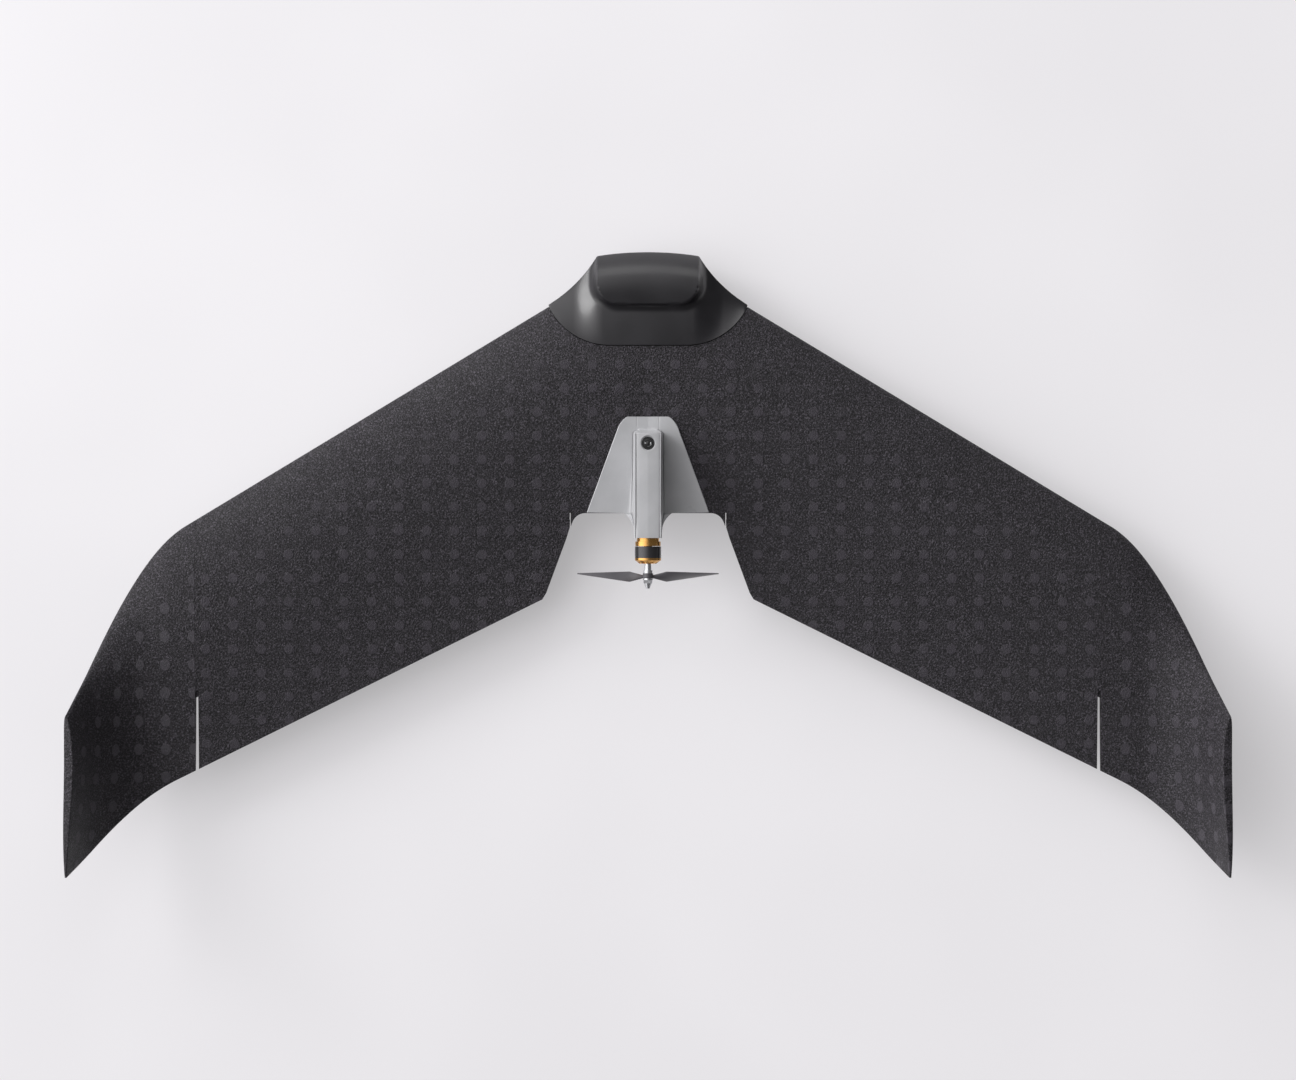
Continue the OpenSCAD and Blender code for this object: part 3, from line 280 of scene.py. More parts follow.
class Graph:
    """The node tree of one material, with short ways to add the nodes that finishes share."""

    def __init__(self, name: str) -> None:
        """Starts a material with a principled surface that reads places in the row frame."""
        self.material = bpy.data.materials.new(name)
        self.material.use_nodes = True
        self.tree = self.material.node_tree
        self.tree.nodes.clear()
        output = self.tree.nodes.new("ShaderNodeOutputMaterial")
        self.surface = self.tree.nodes.new("ShaderNodeBsdfPrincipled")
        self.tree.links.new(self.surface.outputs[0], output.inputs["Surface"])
        self.place = self.tree.nodes.new("ShaderNodeTexCoord").outputs["Object"]

    def feed(self, socket: Socket, value: Value) -> None:
        """Links a socket to another one, or sets its constant."""
        if isinstance(value, bpy.types.NodeSocket):
            self.tree.links.new(value, socket)
        else:
            socket.default_value = value

    def node(self, kind: str, inputs: dict[str | int, Value] | None = None,
             **settings: object) -> bpy.types.Node:
        """Adds a node.

        Args:
            kind: Type of the node, without its common prefix.
            inputs: Values or sockets, by input name or number.
            **settings: Attributes of the node.

        Returns:
            The new node.
        """
        made = self.tree.nodes.new(f"ShaderNode{kind}")
        for key, value in settings.items():
            setattr(made, key, value)
        for key, value in (inputs or {}).items():
            self.feed(made.inputs[key], value)
        return made

    def maths(self, operation: str, a: Value, b: Value = 0.0, c: Value = 0.0) -> Socket:
        """Adds a sum on numbers and returns its result."""
        made = self.node("Math", {0: a, 1: b, 2: c}, operation=operation)
        return made.outputs[0]

    def span(self, value: Value, low: float, high: float, to_low: float = 0.0, to_high: float = 1.0,
             soft: bool = True) -> Socket:
        """Maps a range of a value onto another range and returns it, held to its ends."""
        made = self.node("MapRange", {0: value, 1: low, 2: high, 3: to_low, 4: to_high},
                         interpolation_type="SMOOTHSTEP" if soft else "LINEAR")
        return made.outputs[0]

    def noise(self, size: float, detail: float = 2.0, rough: float = 0.5, place: Socket | None = None,
              stretch: Point = (1, 1, 1)) -> Socket:
        """Adds noise whose lumps are about a size across, and returns it."""
        where = self.place if place is None else place
        if stretch != (1, 1, 1):
            where = self.node("VectorMath", {0: where, 1: stretch}, operation="MULTIPLY").outputs[0]
        made = self.node("TexNoise", {"Vector": where, "Scale": 1 / size, "Detail": detail,
                                      "Roughness": rough})
        return made.outputs[0]

    def cells(self, size: float, place: Socket | None = None, edges: bool = False) -> Socket:
        """Adds cells of about a size across, and returns the distance to their centre or edge."""
        where = self.place if place is None else place
        made = self.node("TexVoronoi", {"Vector": where, "Scale": 1 / size},
                         feature="DISTANCE_TO_EDGE" if edges else "F1")
        return made.outputs["Distance"]

    def blend(self, share: Value, a: Value, b: Value) -> Socket:
        """Mixes two colours by a share and returns the result."""
        made = self.node("Mix", data_type="RGBA")
        self.feed(made.inputs["Factor"], share)
        self.feed(made.inputs[6], a)
        self.feed(made.inputs[7], b)
        return made.outputs[2]

    def bump(self, height: Value, depth: float, strength: float = 1.0, under: Socket | None = None) -> Socket:
        """Adds relief of a depth, on top of another relief, and returns its normal."""
        made = self.node("Bump", {"Height": height, "Distance": depth, "Strength": strength})
        if under is not None:
            self.feed(made.inputs["Normal"], under)
        return made.outputs[0]

    def axes(self) -> tuple[Socket, Socket, Socket]:
        """Returns the place's X, Y and Z."""
        made = self.node("SeparateXYZ", {0: self.place})
        return made.outputs[0], made.outputs[1], made.outputs[2]


class Texture(Enum):
    """How the surface of a plain finish was made."""

    MOULDED = "moulded"
    TURNED = "turned"
    DRAWN = "drawn"
    WOVEN = "woven"
    BOARD = "board"
    CARBON = "carbon"
    WRAP = "wrap"
    WOUND = "wound"


def tone(colour: Point, factor: float = 1.0) -> tuple[float, float, float, float]:
    """Returns a colour, made lighter or darker, with full opacity."""
    return (min(1.0, colour[0] * factor), min(1.0, colour[1] * factor), min(1.0, colour[2] * factor), 1.0)


@dataclass(frozen=True)
class Finish:
    """A finish for a hard piece: its colour, its gloss and the marks that making it left."""

    name: str
    colour: Point
    texture: Texture = Texture.MOULDED
    roughness: float = 0.45
    metal: float = 0.0
    coat: float = 0.0
    grain: float = 0.0006
    relief: float = 0.00003
    wear: float = 0.25

    def build(self) -> bpy.types.Material:
        """Returns the finish's material."""
        graph = Graph(self.name)
        low, fine = graph.noise(0.03, 3), graph.noise(self.grain, 3, 0.6)
        x, y, z = graph.axes()
        height: Socket = fine
        share: Socket = graph.span(low, 0.3, 0.7)
        if self.texture is Texture.TURNED:
            rings = graph.node("TexWave", {"Vector": graph.place, "Scale": 900.0, "Distortion": 1.2,
                                           "Detail": 1.0, "Detail Scale": 3.0},
                               wave_type="BANDS", bands_direction="Y").outputs["Fac"]
            height = graph.maths("ADD", graph.maths("MULTIPLY", rings, 0.6),
                                 graph.maths("MULTIPLY", fine, 0.4))
        elif self.texture is Texture.DRAWN:
            height = graph.noise(0.0008, 2, 0.5, stretch=(1, 0.05, 1))
        elif self.texture is Texture.WOVEN:
            across = graph.maths("SINE", graph.maths("MULTIPLY", x, 6500.0))
            along = graph.maths("SINE", graph.maths("MULTIPLY", y, 5200.0))
            height = graph.maths("MULTIPLY", across, along)
        elif self.texture is Texture.CARBON:
            twill = graph.maths("SINE", graph.maths("MULTIPLY", graph.maths("ADD", x, y), 2800.0))
            other = graph.maths("SINE", graph.maths("MULTIPLY", graph.maths("SUBTRACT", x, z), 2800.0))
            height = graph.maths("MAXIMUM", twill, other)
            share = graph.span(height, -1, 1)
        elif self.texture is Texture.BOARD:
            height = graph.span(graph.cells(0.0028), 0.2, 0.35)
            share = graph.span(graph.cells(0.0019), 0.3, 0.4)
        elif self.texture is Texture.WRAP:
            height = graph.noise(0.006, 4, 0.65, stretch=(1, 0.35, 1))
        elif self.texture is Texture.WOUND:
            height = graph.maths("SINE", graph.maths("MULTIPLY", y, 9000.0))
        pale, deep = tone(self.colour, 1 + self.wear / 2), tone(self.colour, 1 - self.wear / 2)
        colour = graph.blend(share, deep, pale)
        graph.feed(graph.surface.inputs["Base Color"], colour)
        graph.feed(graph.surface.inputs["Metallic"], self.metal)
        rough = graph.span(low, 0.25, 0.75, self.roughness * 0.85, min(1.0, self.roughness * 1.15))
        graph.feed(graph.surface.inputs["Roughness"], rough)
        graph.feed(graph.surface.inputs["Coat Weight"], self.coat)
        graph.feed(graph.surface.inputs["Coat Roughness"], 0.08)
        graph.feed(graph.surface.inputs["Normal"], graph.bump(height, self.relief))
        return graph.material


@dataclass(frozen=True)
class FoamFinish:
    """Moulded bead foam with a leather-like grain and embossed round dots in rows."""

    name: str = "charcoal_foam"
    colour: Point = (0.0195, 0.0178, 0.0212)
    dot_x: float = 0.0275
    dot_y: float = 0.0236
    dot_r: float = 0.0052
    first_row: float = 0.1968
    dot_relief: float = 0.00028
    hatch: float = 0.00095
    shine: float = 0.28

    def build(self) -> bpy.types.Material:
        """Returns the foam's material. The attribute "moulding" holds the pattern's own place."""
        graph = Graph(self.name)
        spot = graph.node("Attribute", attribute_name="moulding").outputs["Vector"]
        parts = graph.node("SeparateXYZ", {0: spot})
        u, v, strength = parts.outputs[0], parts.outputs[1], parts.outputs[2]
        du = self.from_middle(graph, u, 0.0, self.dot_x)
        dv = self.from_middle(graph, v, self.first_row, self.dot_y)
        squares = graph.maths("ADD", graph.maths("POWER", du, 2.0), graph.maths("POWER", dv, 2.0))
        reach = graph.maths("SQRT", squares)
        dot = graph.maths("MULTIPLY", graph.span(reach, self.dot_r, self.dot_r - 0.0008), strength)
        lines = graph.maths("MULTIPLY", graph.maths("ADD", du, dv), 2 * math.pi / self.hatch)
        lines = graph.maths("SINE", lines)
        hatch = graph.maths("MULTIPLY", graph.span(lines, -0.6, 0.8), dot)
        cells = graph.span(graph.cells(0.0024, edges=True), 0.0, 0.22)
        pores = graph.noise(0.0017, 3, 0.65)
        grain = graph.maths("ADD", graph.maths("MULTIPLY", cells, 0.55), graph.maths("MULTIPLY", pores, 0.6))
        beads = graph.noise(0.005, 2, 0.5)
        normal = graph.bump(grain, 0.0006, 1.0)
        normal = graph.bump(beads, 0.0004, 0.5, normal)
        normal = graph.bump(dot, self.dot_relief, 0.6, normal)
        normal = graph.bump(hatch, 0.0003, 0.8, normal)
        clouds = graph.span(graph.noise(0.07, 4, 0.55), 0.3, 0.72)
        base = graph.blend(clouds, tone(self.colour, 0.9), tone(self.colour, 1.1))
        base = graph.blend(graph.span(pores, 0.52, 0.36), base, tone(self.colour, 0.3))
        base = graph.blend(graph.span(pores, 0.5, 0.7), base, tone(self.colour, 4.2))
        base = graph.blend(graph.maths("MULTIPLY", dot, 0.5), base, tone(self.colour, 1.9))
        base = graph.blend(graph.maths("MULTIPLY", hatch, 0.8), base, tone(self.colour, 4.6))
        graph.feed(graph.surface.inputs["Base Color"], base)
        rough = graph.span(graph.noise(0.03, 3), 0.3, 0.7, 0.5, 0.62)
        rough = graph.maths("ADD", rough, graph.maths("MULTIPLY", hatch, -0.08))
        graph.feed(graph.surface.inputs["Roughness"], rough)
        graph.surface.inputs["Specular IOR Level"].default_value = self.shine
        graph.feed(graph.surface.inputs["Normal"], normal)
        return graph.material

    def from_middle(self, graph: Graph, value: Socket, start: float, pitch: float) -> Socket:
        """Returns how far a value lies from the middle of its cell of a repeating row."""
        cells = graph.maths("DIVIDE", graph.maths("SUBTRACT", value, start), pitch)
        cell = graph.maths("FRACT", graph.maths("ADD", cells, 1000.5))
        return graph.maths("MULTIPLY", graph.maths("SUBTRACT", cell, 0.5), pitch)


@dataclass(frozen=True)
class ClearFinish:
    """Coated camera glass."""

    name: str = "lens_glass"
    colour: Point = (0.02, 0.03, 0.05)

    def build(self) -> bpy.types.Material:
        """Returns the glass's material."""
        graph = Graph(self.name)
        share = graph.span(graph.noise(0.012, 1), 0.3, 0.7)
        tint = graph.blend(share, tone(self.colour), tone((0.05, 0.02, 0.07)))
        graph.feed(graph.surface.inputs["Base Color"], tint)
        graph.feed(graph.surface.inputs["Roughness"], graph.span(graph.noise(0.004, 2), 0.3, 0.7, 0.03, 0.07))
        graph.feed(graph.surface.inputs["Coat Weight"], 1.0)
        graph.feed(graph.surface.inputs["Coat Roughness"], 0.02)
        return graph.material


class Palette:
    """Every finish of the aeroplane, each made once and shared by its pieces."""

    def __init__(self) -> None:
        """Builds the materials."""
        dark = Texture.MOULDED
        self.foam = FoamFinish().build()
        finishes = [
            Finish("hood_black", (0.010, 0.0095, 0.0115), dark, 0.33, coat=0.05, grain=0.0007,
                   relief=0.00004),
            Finish("cowl_grey", (0.42, 0.425, 0.435), dark, 0.32, coat=0.08, grain=0.0005,
                   relief=0.00002, wear=0.1),
            Finish("prop_grey", (0.075, 0.072, 0.08), dark, 0.34, grain=0.0006, relief=0.00003),
            Finish("gold_alloy", (0.66, 0.36, 0.11), Texture.TURNED, 0.27, 1.0, relief=0.00001, wear=0.15),
            Finish("can_black", (0.022, 0.022, 0.024), Texture.TURNED, 0.3, coat=0.3, relief=0.00001),
            Finish("turned_alloy", (0.68, 0.69, 0.71), Texture.TURNED, 0.3, 1.0, relief=0.00001, wear=0.12),
            Finish("ground_steel", (0.55, 0.55, 0.57), Texture.DRAWN, 0.28, 1.0, relief=0.00001, wear=0.12),
            Finish("stator_steel", (0.22, 0.22, 0.24), Texture.DRAWN, 0.45, 1.0),
            Finish("enamel_copper", (0.62, 0.24, 0.08), Texture.WOUND, 0.3, 0.9, relief=0.00008),
            Finish("magnet_nickel", (0.7, 0.69, 0.66), Texture.DRAWN, 0.2, 1.0, relief=0.000005, wear=0.1),
            Finish("lead_rubber", (0.03, 0.03, 0.031), dark, 0.6, grain=0.001),
            Finish("lead_red", (0.4, 0.02, 0.02), dark, 0.55, grain=0.001),
            Finish("button_black", (0.012, 0.012, 0.013), dark, 0.2, coat=0.4, grain=0.0005, relief=0.00001),
            Finish("button_pip", (0.75, 0.77, 0.8), dark, 0.25, coat=0.5),
            Finish("board_green", (0.012, 0.09, 0.045), Texture.BOARD, 0.4, relief=0.0003, wear=0.8),
            Finish("servo_case", (0.02, 0.022, 0.045), dark, 0.3, coat=0.2, grain=0.0005),
            Finish("nylon_white", (0.62, 0.61, 0.57), dark, 0.45, grain=0.0008, relief=0.00004, wear=0.12),
            Finish("battery_wrap", (0.03, 0.035, 0.06), Texture.WRAP, 0.2, coat=0.5, relief=0.0004),
            Finish("strap_webbing", (0.025, 0.025, 0.026), Texture.WOVEN, 0.8, relief=0.0002),
            Finish("module_black", (0.03, 0.03, 0.032), dark, 0.42, grain=0.0009, relief=0.00006),
            Finish("antenna_ceramic", (0.6, 0.52, 0.38), dark, 0.55, grain=0.0012, relief=0.00006),
            Finish("carbon_tube", (0.022, 0.022, 0.024), Texture.CARBON, 0.3, coat=0.3,
                   relief=0.00003, wear=0.9),
            Finish("joiner_black", (0.03, 0.03, 0.03), dark, 0.5),
            Finish("skid_black", (0.035, 0.035, 0.037), dark, 0.55, grain=0.0012, relief=0.0001, wear=0.5),
            Finish("hinge_film", (0.02, 0.02, 0.022), dark, 0.4),
        ]
        self.made = {f.name: f.build() for f in finishes}
        self.made["charcoal_foam"] = self.foam
        self.made["lens_glass"] = ClearFinish().build()

    def dress(self, piece: bpy.types.Object, name: str) -> None:
        """Gives a whole piece one finish."""
        piece.data.materials.clear()
        piece.data.materials.append(self.made[name])


def dress_node(name: str, palette: Palette, finish: str) -> None:
    """Gives a CAD node one finish by its own slots, without touching its mesh."""
    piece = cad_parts[name]
    for slot in piece.material_slots:
        slot.material = palette.made[finish]


@dataclass(frozen=True)
class Berth:
    """Where a piece belongs: the body it rides on, its slot and the CAD nodes it stands for."""

    body: str
    slot: str
    nodes: tuple[str, ...] = ()

    def settle(self, piece: bpy.types.Object) -> bpy.types.Object:
        """Ties a piece to its body, hides the CAD nodes it stands for, and returns it."""
        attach(piece, self.body)
        if self.nodes:
            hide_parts(*self.nodes)
        LOG.info("%s: %d faces on %s", piece.name, len(piece.data.polygons), self.body)
        return piece


# ---- shape of the wing --------------------------------------------------------------------


@dataclass(frozen=True)
class WingShape:
    """The wing's driving sizes, and the curves that follow from them."""

    half_span: float = 0.451
    root_chord: float = 0.2998
    le_sweep: float = 0.604
    te_sweep: float = 0.494
    root_thick: float = 0.033
    seam_thick: float = 0.024
    edge_thick: float = 0.002
    camber_rate: float = 0.15
    panel_z: float = 0.0371
    seam_rise: float = 0.00095
    winglet_flat: float = 0.0415
    bend_r: float = 0.073
    cant: float = math.radians(70)
    straight: float = 0.033
    tip_thick: float = 0.0095
    le_tip_slope: float = 2.42
    te_tip_slope: float = 1.17
    elevon_chord: float = 0.0727
    elevon_in: float = 0.078
    tip_slot: float = 0.003
    groove: float = math.radians(31)
    strip_w: float = 0.012
    strip_t: float = 0.0005
    bay_edge: float = 0.2605
    bay_half_w: float = 0.0722
    bay_flare: float = 0.368
    bay_corner_r: float = 0.014
    apex_overhang: float = 0.0052

    @property
    def bend_end(self) -> float:
        """Distance from the centre line where the tip's edges run straight again."""
        return self.half_span + 0.099

    @property
    def tip_x(self) -> float:
        """Distance of the tip's chord from the centre line."""
        return (self.half_span + self.winglet_flat + self.bend_r * math.sin(self.cant)
                + self.straight * math.cos(self.cant))

    def drop(self, x: float, slope: float, tip_slope: float, start: float) -> float:
        """Returns how far an edge has moved aft at a distance from the centre line."""
        bent = max(0.0, min(x, self.bend_end) - start)
        past = max(0.0, x - max(self.bend_end, start))
        return slope * x + (tip_slope - slope) * (bent**2 / (2 * (self.bend_end - start)) + past)

    def le_drop(self, x: float) -> float:
        """Returns how far the leading edge has moved aft."""
        return self.drop(abs(x), self.le_sweep, self.le_tip_slope, self.half_span + 0.011)

    def te_drop(self, x: float) -> float:
        """Returns how far the trailing edge has moved aft."""
        return self.drop(abs(x), self.te_sweep, self.te_tip_slope, self.half_span + 0.019)

    @property
    def nose_y(self) -> float:
        """Place of the nose's foremost point."""
        return (self.root_chord + self.te_drop(self.tip_x) - self.apex_overhang) / 2

    def aft(self, d: float) -> float:
        """Returns the Y of a distance behind the nose."""
        return self.nose_y - d

    def le(self, x: float) -> float:
        """Returns the Y of the leading edge."""
        return self.nose_y + self.apex_overhang - self.le_drop(x)

    def te(self, x: float) -> float:
        """Returns the Y of the trailing edge."""
        return self.nose_y + self.apex_overhang - self.root_chord - self.te_drop(x)

    def half(self, t: float, f: float) -> float:
        """Returns half the section's thickness at a share f of the chord."""
        f = clamp(f)
        poly = -0.1260 + f * (-0.3516 + f * (0.2843 - 0.1036 * f))
        return self.edge_thick / 2 * f + 5 * t * (0.2969 * math.sqrt(f) + f * poly)

    def camber(self, chord: float, f: float) -> float:
        """Returns the height of the section's middle line above its chord."""
        return self.camber_rate * chord * f * (1 - f) * (1 - 1.2 * f)

    def height(self, x: float, y: float, side: int) -> float:
        """Returns the Z of the panel's upper side (1) or lower side (-1)."""
        share = abs(x) / self.half_span
        chord = self.le(x) - self.te(x)
        f = clamp((self.le(x) - y) / chord)
        thick = lerp(self.root_thick, self.seam_thick, share)
        return self.panel_z + self.seam_rise * share + self.camber(chord, f) + side * self.half(thick, f)

    def top(self, x: float, y: float) -> float:
        """Returns the Z of the panel's upper side."""
        return self.height(x, y, 1)

    def bottom(self, x: float, y: float) -> float:
        """Returns the Z of the panel's lower side."""
        return self.height(x, y, -1)

    @property
    def hinge_angle(self) -> float:
        """Angle of the hinge line from the X axis."""
        return math.atan(self.te_sweep)

    def hinge_y(self, x: float) -> float:
        """Returns the Y of the hinge line."""
        return self.te(0) + self.elevon_chord - self.te_sweep * abs(x)

    @property
    def hinge_z(self) -> float:
        """Height of the hinge line."""
        mid = (self.elevon_in + self.half_span) / 2
        return self.top(mid, self.hinge_y(mid)) - self.strip_t

    @property
    def bay_y(self) -> float:
        """Place of the propeller bay's front edge."""
        return self.aft(self.bay_edge)

    def bay_rear(self, x: float) -> float:
        """Returns the Y of the propeller bay's edge at a distance from the centre line."""
        side = math.atan(self.bay_flare)
        foot = self.bay_half_w - self.bay_corner_r * math.tan((math.pi / 2 - side) / 2)
        out = abs(x) - foot
        if out <= 0:
            return self.bay_y
        if out <= self.bay_corner_r * math.cos(side):
            return self.bay_y - self.bay_corner_r + math.sqrt(self.bay_corner_r**2 - out**2)
        return self.bay_y - (abs(x) - self.bay_half_w) / self.bay_flare


@dataclass(frozen=True)
class NoseShape:
    """The hood's and the belly's outlines, seen from above."""

    wing: WingShape
    half_w: float = 0.0508
    front_r: float = 0.324
    hood_half_w: float = 0.0996
    flank_r: float = 0.144
    rear: float = 0.0938
    corner_r: float = 0.067
    flat: float = 0.038
    deck_z: float = 0.038
    block_z: float = 0.0665
    block_half_w: float = 0.049
    block_rear: float = 0.0522
    belly_rear_w: float = 0.062
    keel_z: float = 0.0015

    def nose_drop(self, x: float) -> float:
        """Returns how far the blunt nose has moved aft."""
        return self.front_r - math.sqrt(self.front_r**2 - x**2)

    @property
    def foot(self) -> float:
        """Place where the flanks meet the leading edges."""
        return self.wing.le(self.hood_half_w) + 0.0022

    def flank_centre(self) -> tuple[float, float]:
        """Returns the centre of the right flank's hollow curve."""
        nose = self.wing.nose_y - self.nose_drop(self.half_w)
        across, along = self.hood_half_w - self.half_w, self.foot - nose
        length = math.hypot(across, along)
        reach = math.sqrt(self.flank_r**2 - length**2 / 4)
        return ((self.half_w + self.hood_half_w) / 2 - along / length * reach,
                (nose + self.foot) / 2 + across / length * reach)

    def front(self, x: float) -> float:
        """Returns the Y of the nose's front edge."""
        if abs(x) <= self.half_w:
            return self.wing.nose_y - self.nose_drop(x)
        cx, cy = self.flank_centre()
        return cy - math.sqrt(self.flank_r**2 - (min(abs(x), self.hood_half_w) - cx) ** 2)

    def back(self, x: float) -> float:
        """Returns the Y of the hood's rear edge."""
        out = max(0.0, min(abs(x), self.hood_half_w) - self.flat)
        return self.wing.aft(self.rear) + self.corner_r - math.sqrt(self.corner_r**2 - out**2)

    def front_half_w(self, y: float) -> float:
        """Returns the nose's half-width at a place along Y."""
        if y >= self.front(self.half_w):
            return math.sqrt(max(0.0, self.front_r**2 - (y - self.wing.nose_y + self.front_r) ** 2))
        cx, cy = self.flank_centre()
        return cx - math.sqrt(self.flank_r**2 - (y - cy) ** 2)

    def belly_w(self, y: float) -> float:
        """Returns the belly's half-width at a place along Y."""
        if y >= self.foot:
            return self.front_half_w(y)
        share = clamp((y - self.wing.bay_y) / (self.foot - self.wing.bay_y))
        return lerp(self.belly_rear_w, self.hood_half_w, share)


WING = WingShape()
NOSE = NoseShape(WING)


def mark_moulding(piece: bpy.types.Object, place: Callable[[Vector], Point]) -> None:
    """Stores each corner's place in the foam's embossed pattern.

    Args:
        piece: The foam piece.
        place: Gives the pattern's two coordinates and its strength for a corner.
    """
    layer = piece.data.attributes.new("moulding", "FLOAT_VECTOR", "POINT")
    flat = np.array([place(v.co) for v in piece.data.vertices], np.float32)
    layer.data.foreach_set("vector", flat.ravel())


def panel_place(co: Vector) -> Point:
    """Returns the pattern's place on the flat panels, fading at the leading edge."""
    return co.x, co.y, smooth(0.03, 0.085, WING.le(co.x) - co.y)


# ---- foam ---------------------------------------------------------------------------------


@dataclass
class WingFoam:
    """The one-piece foam wing, from seam to seam."""

    palette: Palette
    gap: float = 0.0004
    glue: float = 0.0002
    step: float = 0.004
    top_count: int = 64
    low_count: int = 30
    recess: float = 0.0016

    def stations(self) -> list[float]:
        """Returns the places across the span where the skin has a ring."""
        tab = WING.elevon_in - 0.001
        hood = NOSE.hood_half_w + self.gap
        right = (spread(0, 0.05, self.step) + spread(0.05, tab - 5e-5, 0.001) + [tab + 5e-5]
                 + spread(0.08, 0.088, 0.002) + spread(0.089, hood, 0.0007)
                 + spread(hood + 0.0003, 0.11, 0.0015)
                 + spread(0.112, WING.half_span, self.step))
        right = sorted(set(round(x, 7) for x in right))
        return [-x for x in reversed(right) if x > 0] + right

    def ring(self, x: float) -> Ring:
        """Returns the skin's ring at a place across the span."""
        a = abs(x)
        le, chord = WING.le(a), WING.le(a) - WING.te(a)
        in_hood = a < NOSE.hood_half_w + self.gap
        front = min(le, NOSE.back(a) - self.gap) if in_hood else le
        tab = a < WING.elevon_in - 0.001
        rear = WING.bay_rear(a) if tab else WING.hinge_y(a)
        seat = 0.0 if a < WING.elevon_in else WING.strip_w / 2 / math.cos(WING.hinge_angle)
        deep = 0.0 if a < WING.elevon_in else self.recess
        ring = [self.on_top(x, y) for y in self.clustered(front, rear + seat, le, self.top_count)]
        ring.append((x, rear + seat, WING.top(a, rear + seat) - deep))
        ring.append((x, rear, WING.top(a, rear) - deep))
        edge = (NOSE.hood_half_w - NOSE.belly_rear_w) or 1
        split = WING.bay_y + (a - NOSE.belly_rear_w - self.glue) / edge * (NOSE.foot - WING.bay_y)
        split = front if a > NOSE.hood_half_w + self.glue else min(max(split, rear), front)
        back = list(reversed(self.clustered(split, rear, le, self.low_count)))
        ring += [(x, y, WING.bottom(a, y)) for y in back]
        deck = [lerp(split, front, i / self.low_count) for i in range(self.low_count + 1)]
        if split < front:
            ring += [(x, y, min(NOSE.deck_z, WING.top(a, y))) for y in deck]
        else:
            ring += [(x, y, WING.bottom(a, y)) for y in deck]
        return ring

    def on_top(self, x: float, y: float) -> Point:
        """Returns a point of the upper side."""
        return x, y, WING.top(x, y)

    def clustered(self, front: float, rear: float, le: float, count: int) -> list[float]:
        """Returns places from front to rear, closer together at the leading edge."""
        chord = le - rear
        start = math.sqrt(max(0.0, (le - front) / chord))
        return [le - chord * lerp(start, 1, i / count) ** 2 for i in range(count + 1)]

    def build(self) -> bpy.types.Object:
        """Builds the wing's skin with its servo pockets, and returns it."""
        piece = loft("wing_skin", [self.ring(x) for x in self.stations()])
        carve(piece, self.pockets())
        mark_moulding(piece, panel_place)
        self.palette.dress(piece, "charcoal_foam")
        return Berth("airframe", "foam", ("wing_foam",)).settle(piece)

    def pockets(self) -> list[bpy.types.Object]:
        """Returns the cutters of the servo pockets and of the arm and horn slots."""
        cutters = []
        for side in (-1, 1):
            for node, grow, top in (("servo", 0.0004, 0.0), ):
                low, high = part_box(f"{node}_{'right' if side > 0 else 'left'}")
                cutters.append(linkage_box(side, (-0.0242, 0.0428, 0.0), (0.0002, 0.0662, high.z + grow)))
            cutters.append(linkage_box(side, (-0.0005, 0.046, 0.0), (0.0085, 0.074, 0.046)))
            cutters.append(linkage_box(side, (-0.0015, -0.001, 0.0), (0.0075, 0.015, 0.0355)))
        return cutters


LINK_X = 0.25


def linkage_box(side: int, low: Point, high: Point) -> bpy.types.Object:
    """Makes a box in the frame of a hinge: X along it from the control rod, Y ahead of it."""
    piece = box_piece("cutter", low, high)
    turn = Matrix.Rotation(-WING.hinge_angle, 4, "Z")
    place = Matrix.Translation((LINK_X, WING.hinge_y(LINK_X), 0)) @ turn
    if side < 0:
        place = Matrix.Scale(-1, 4, (1, 0, 0)) @ place
    piece.data.transform(place)
    tidy_mesh(piece)
    return piece


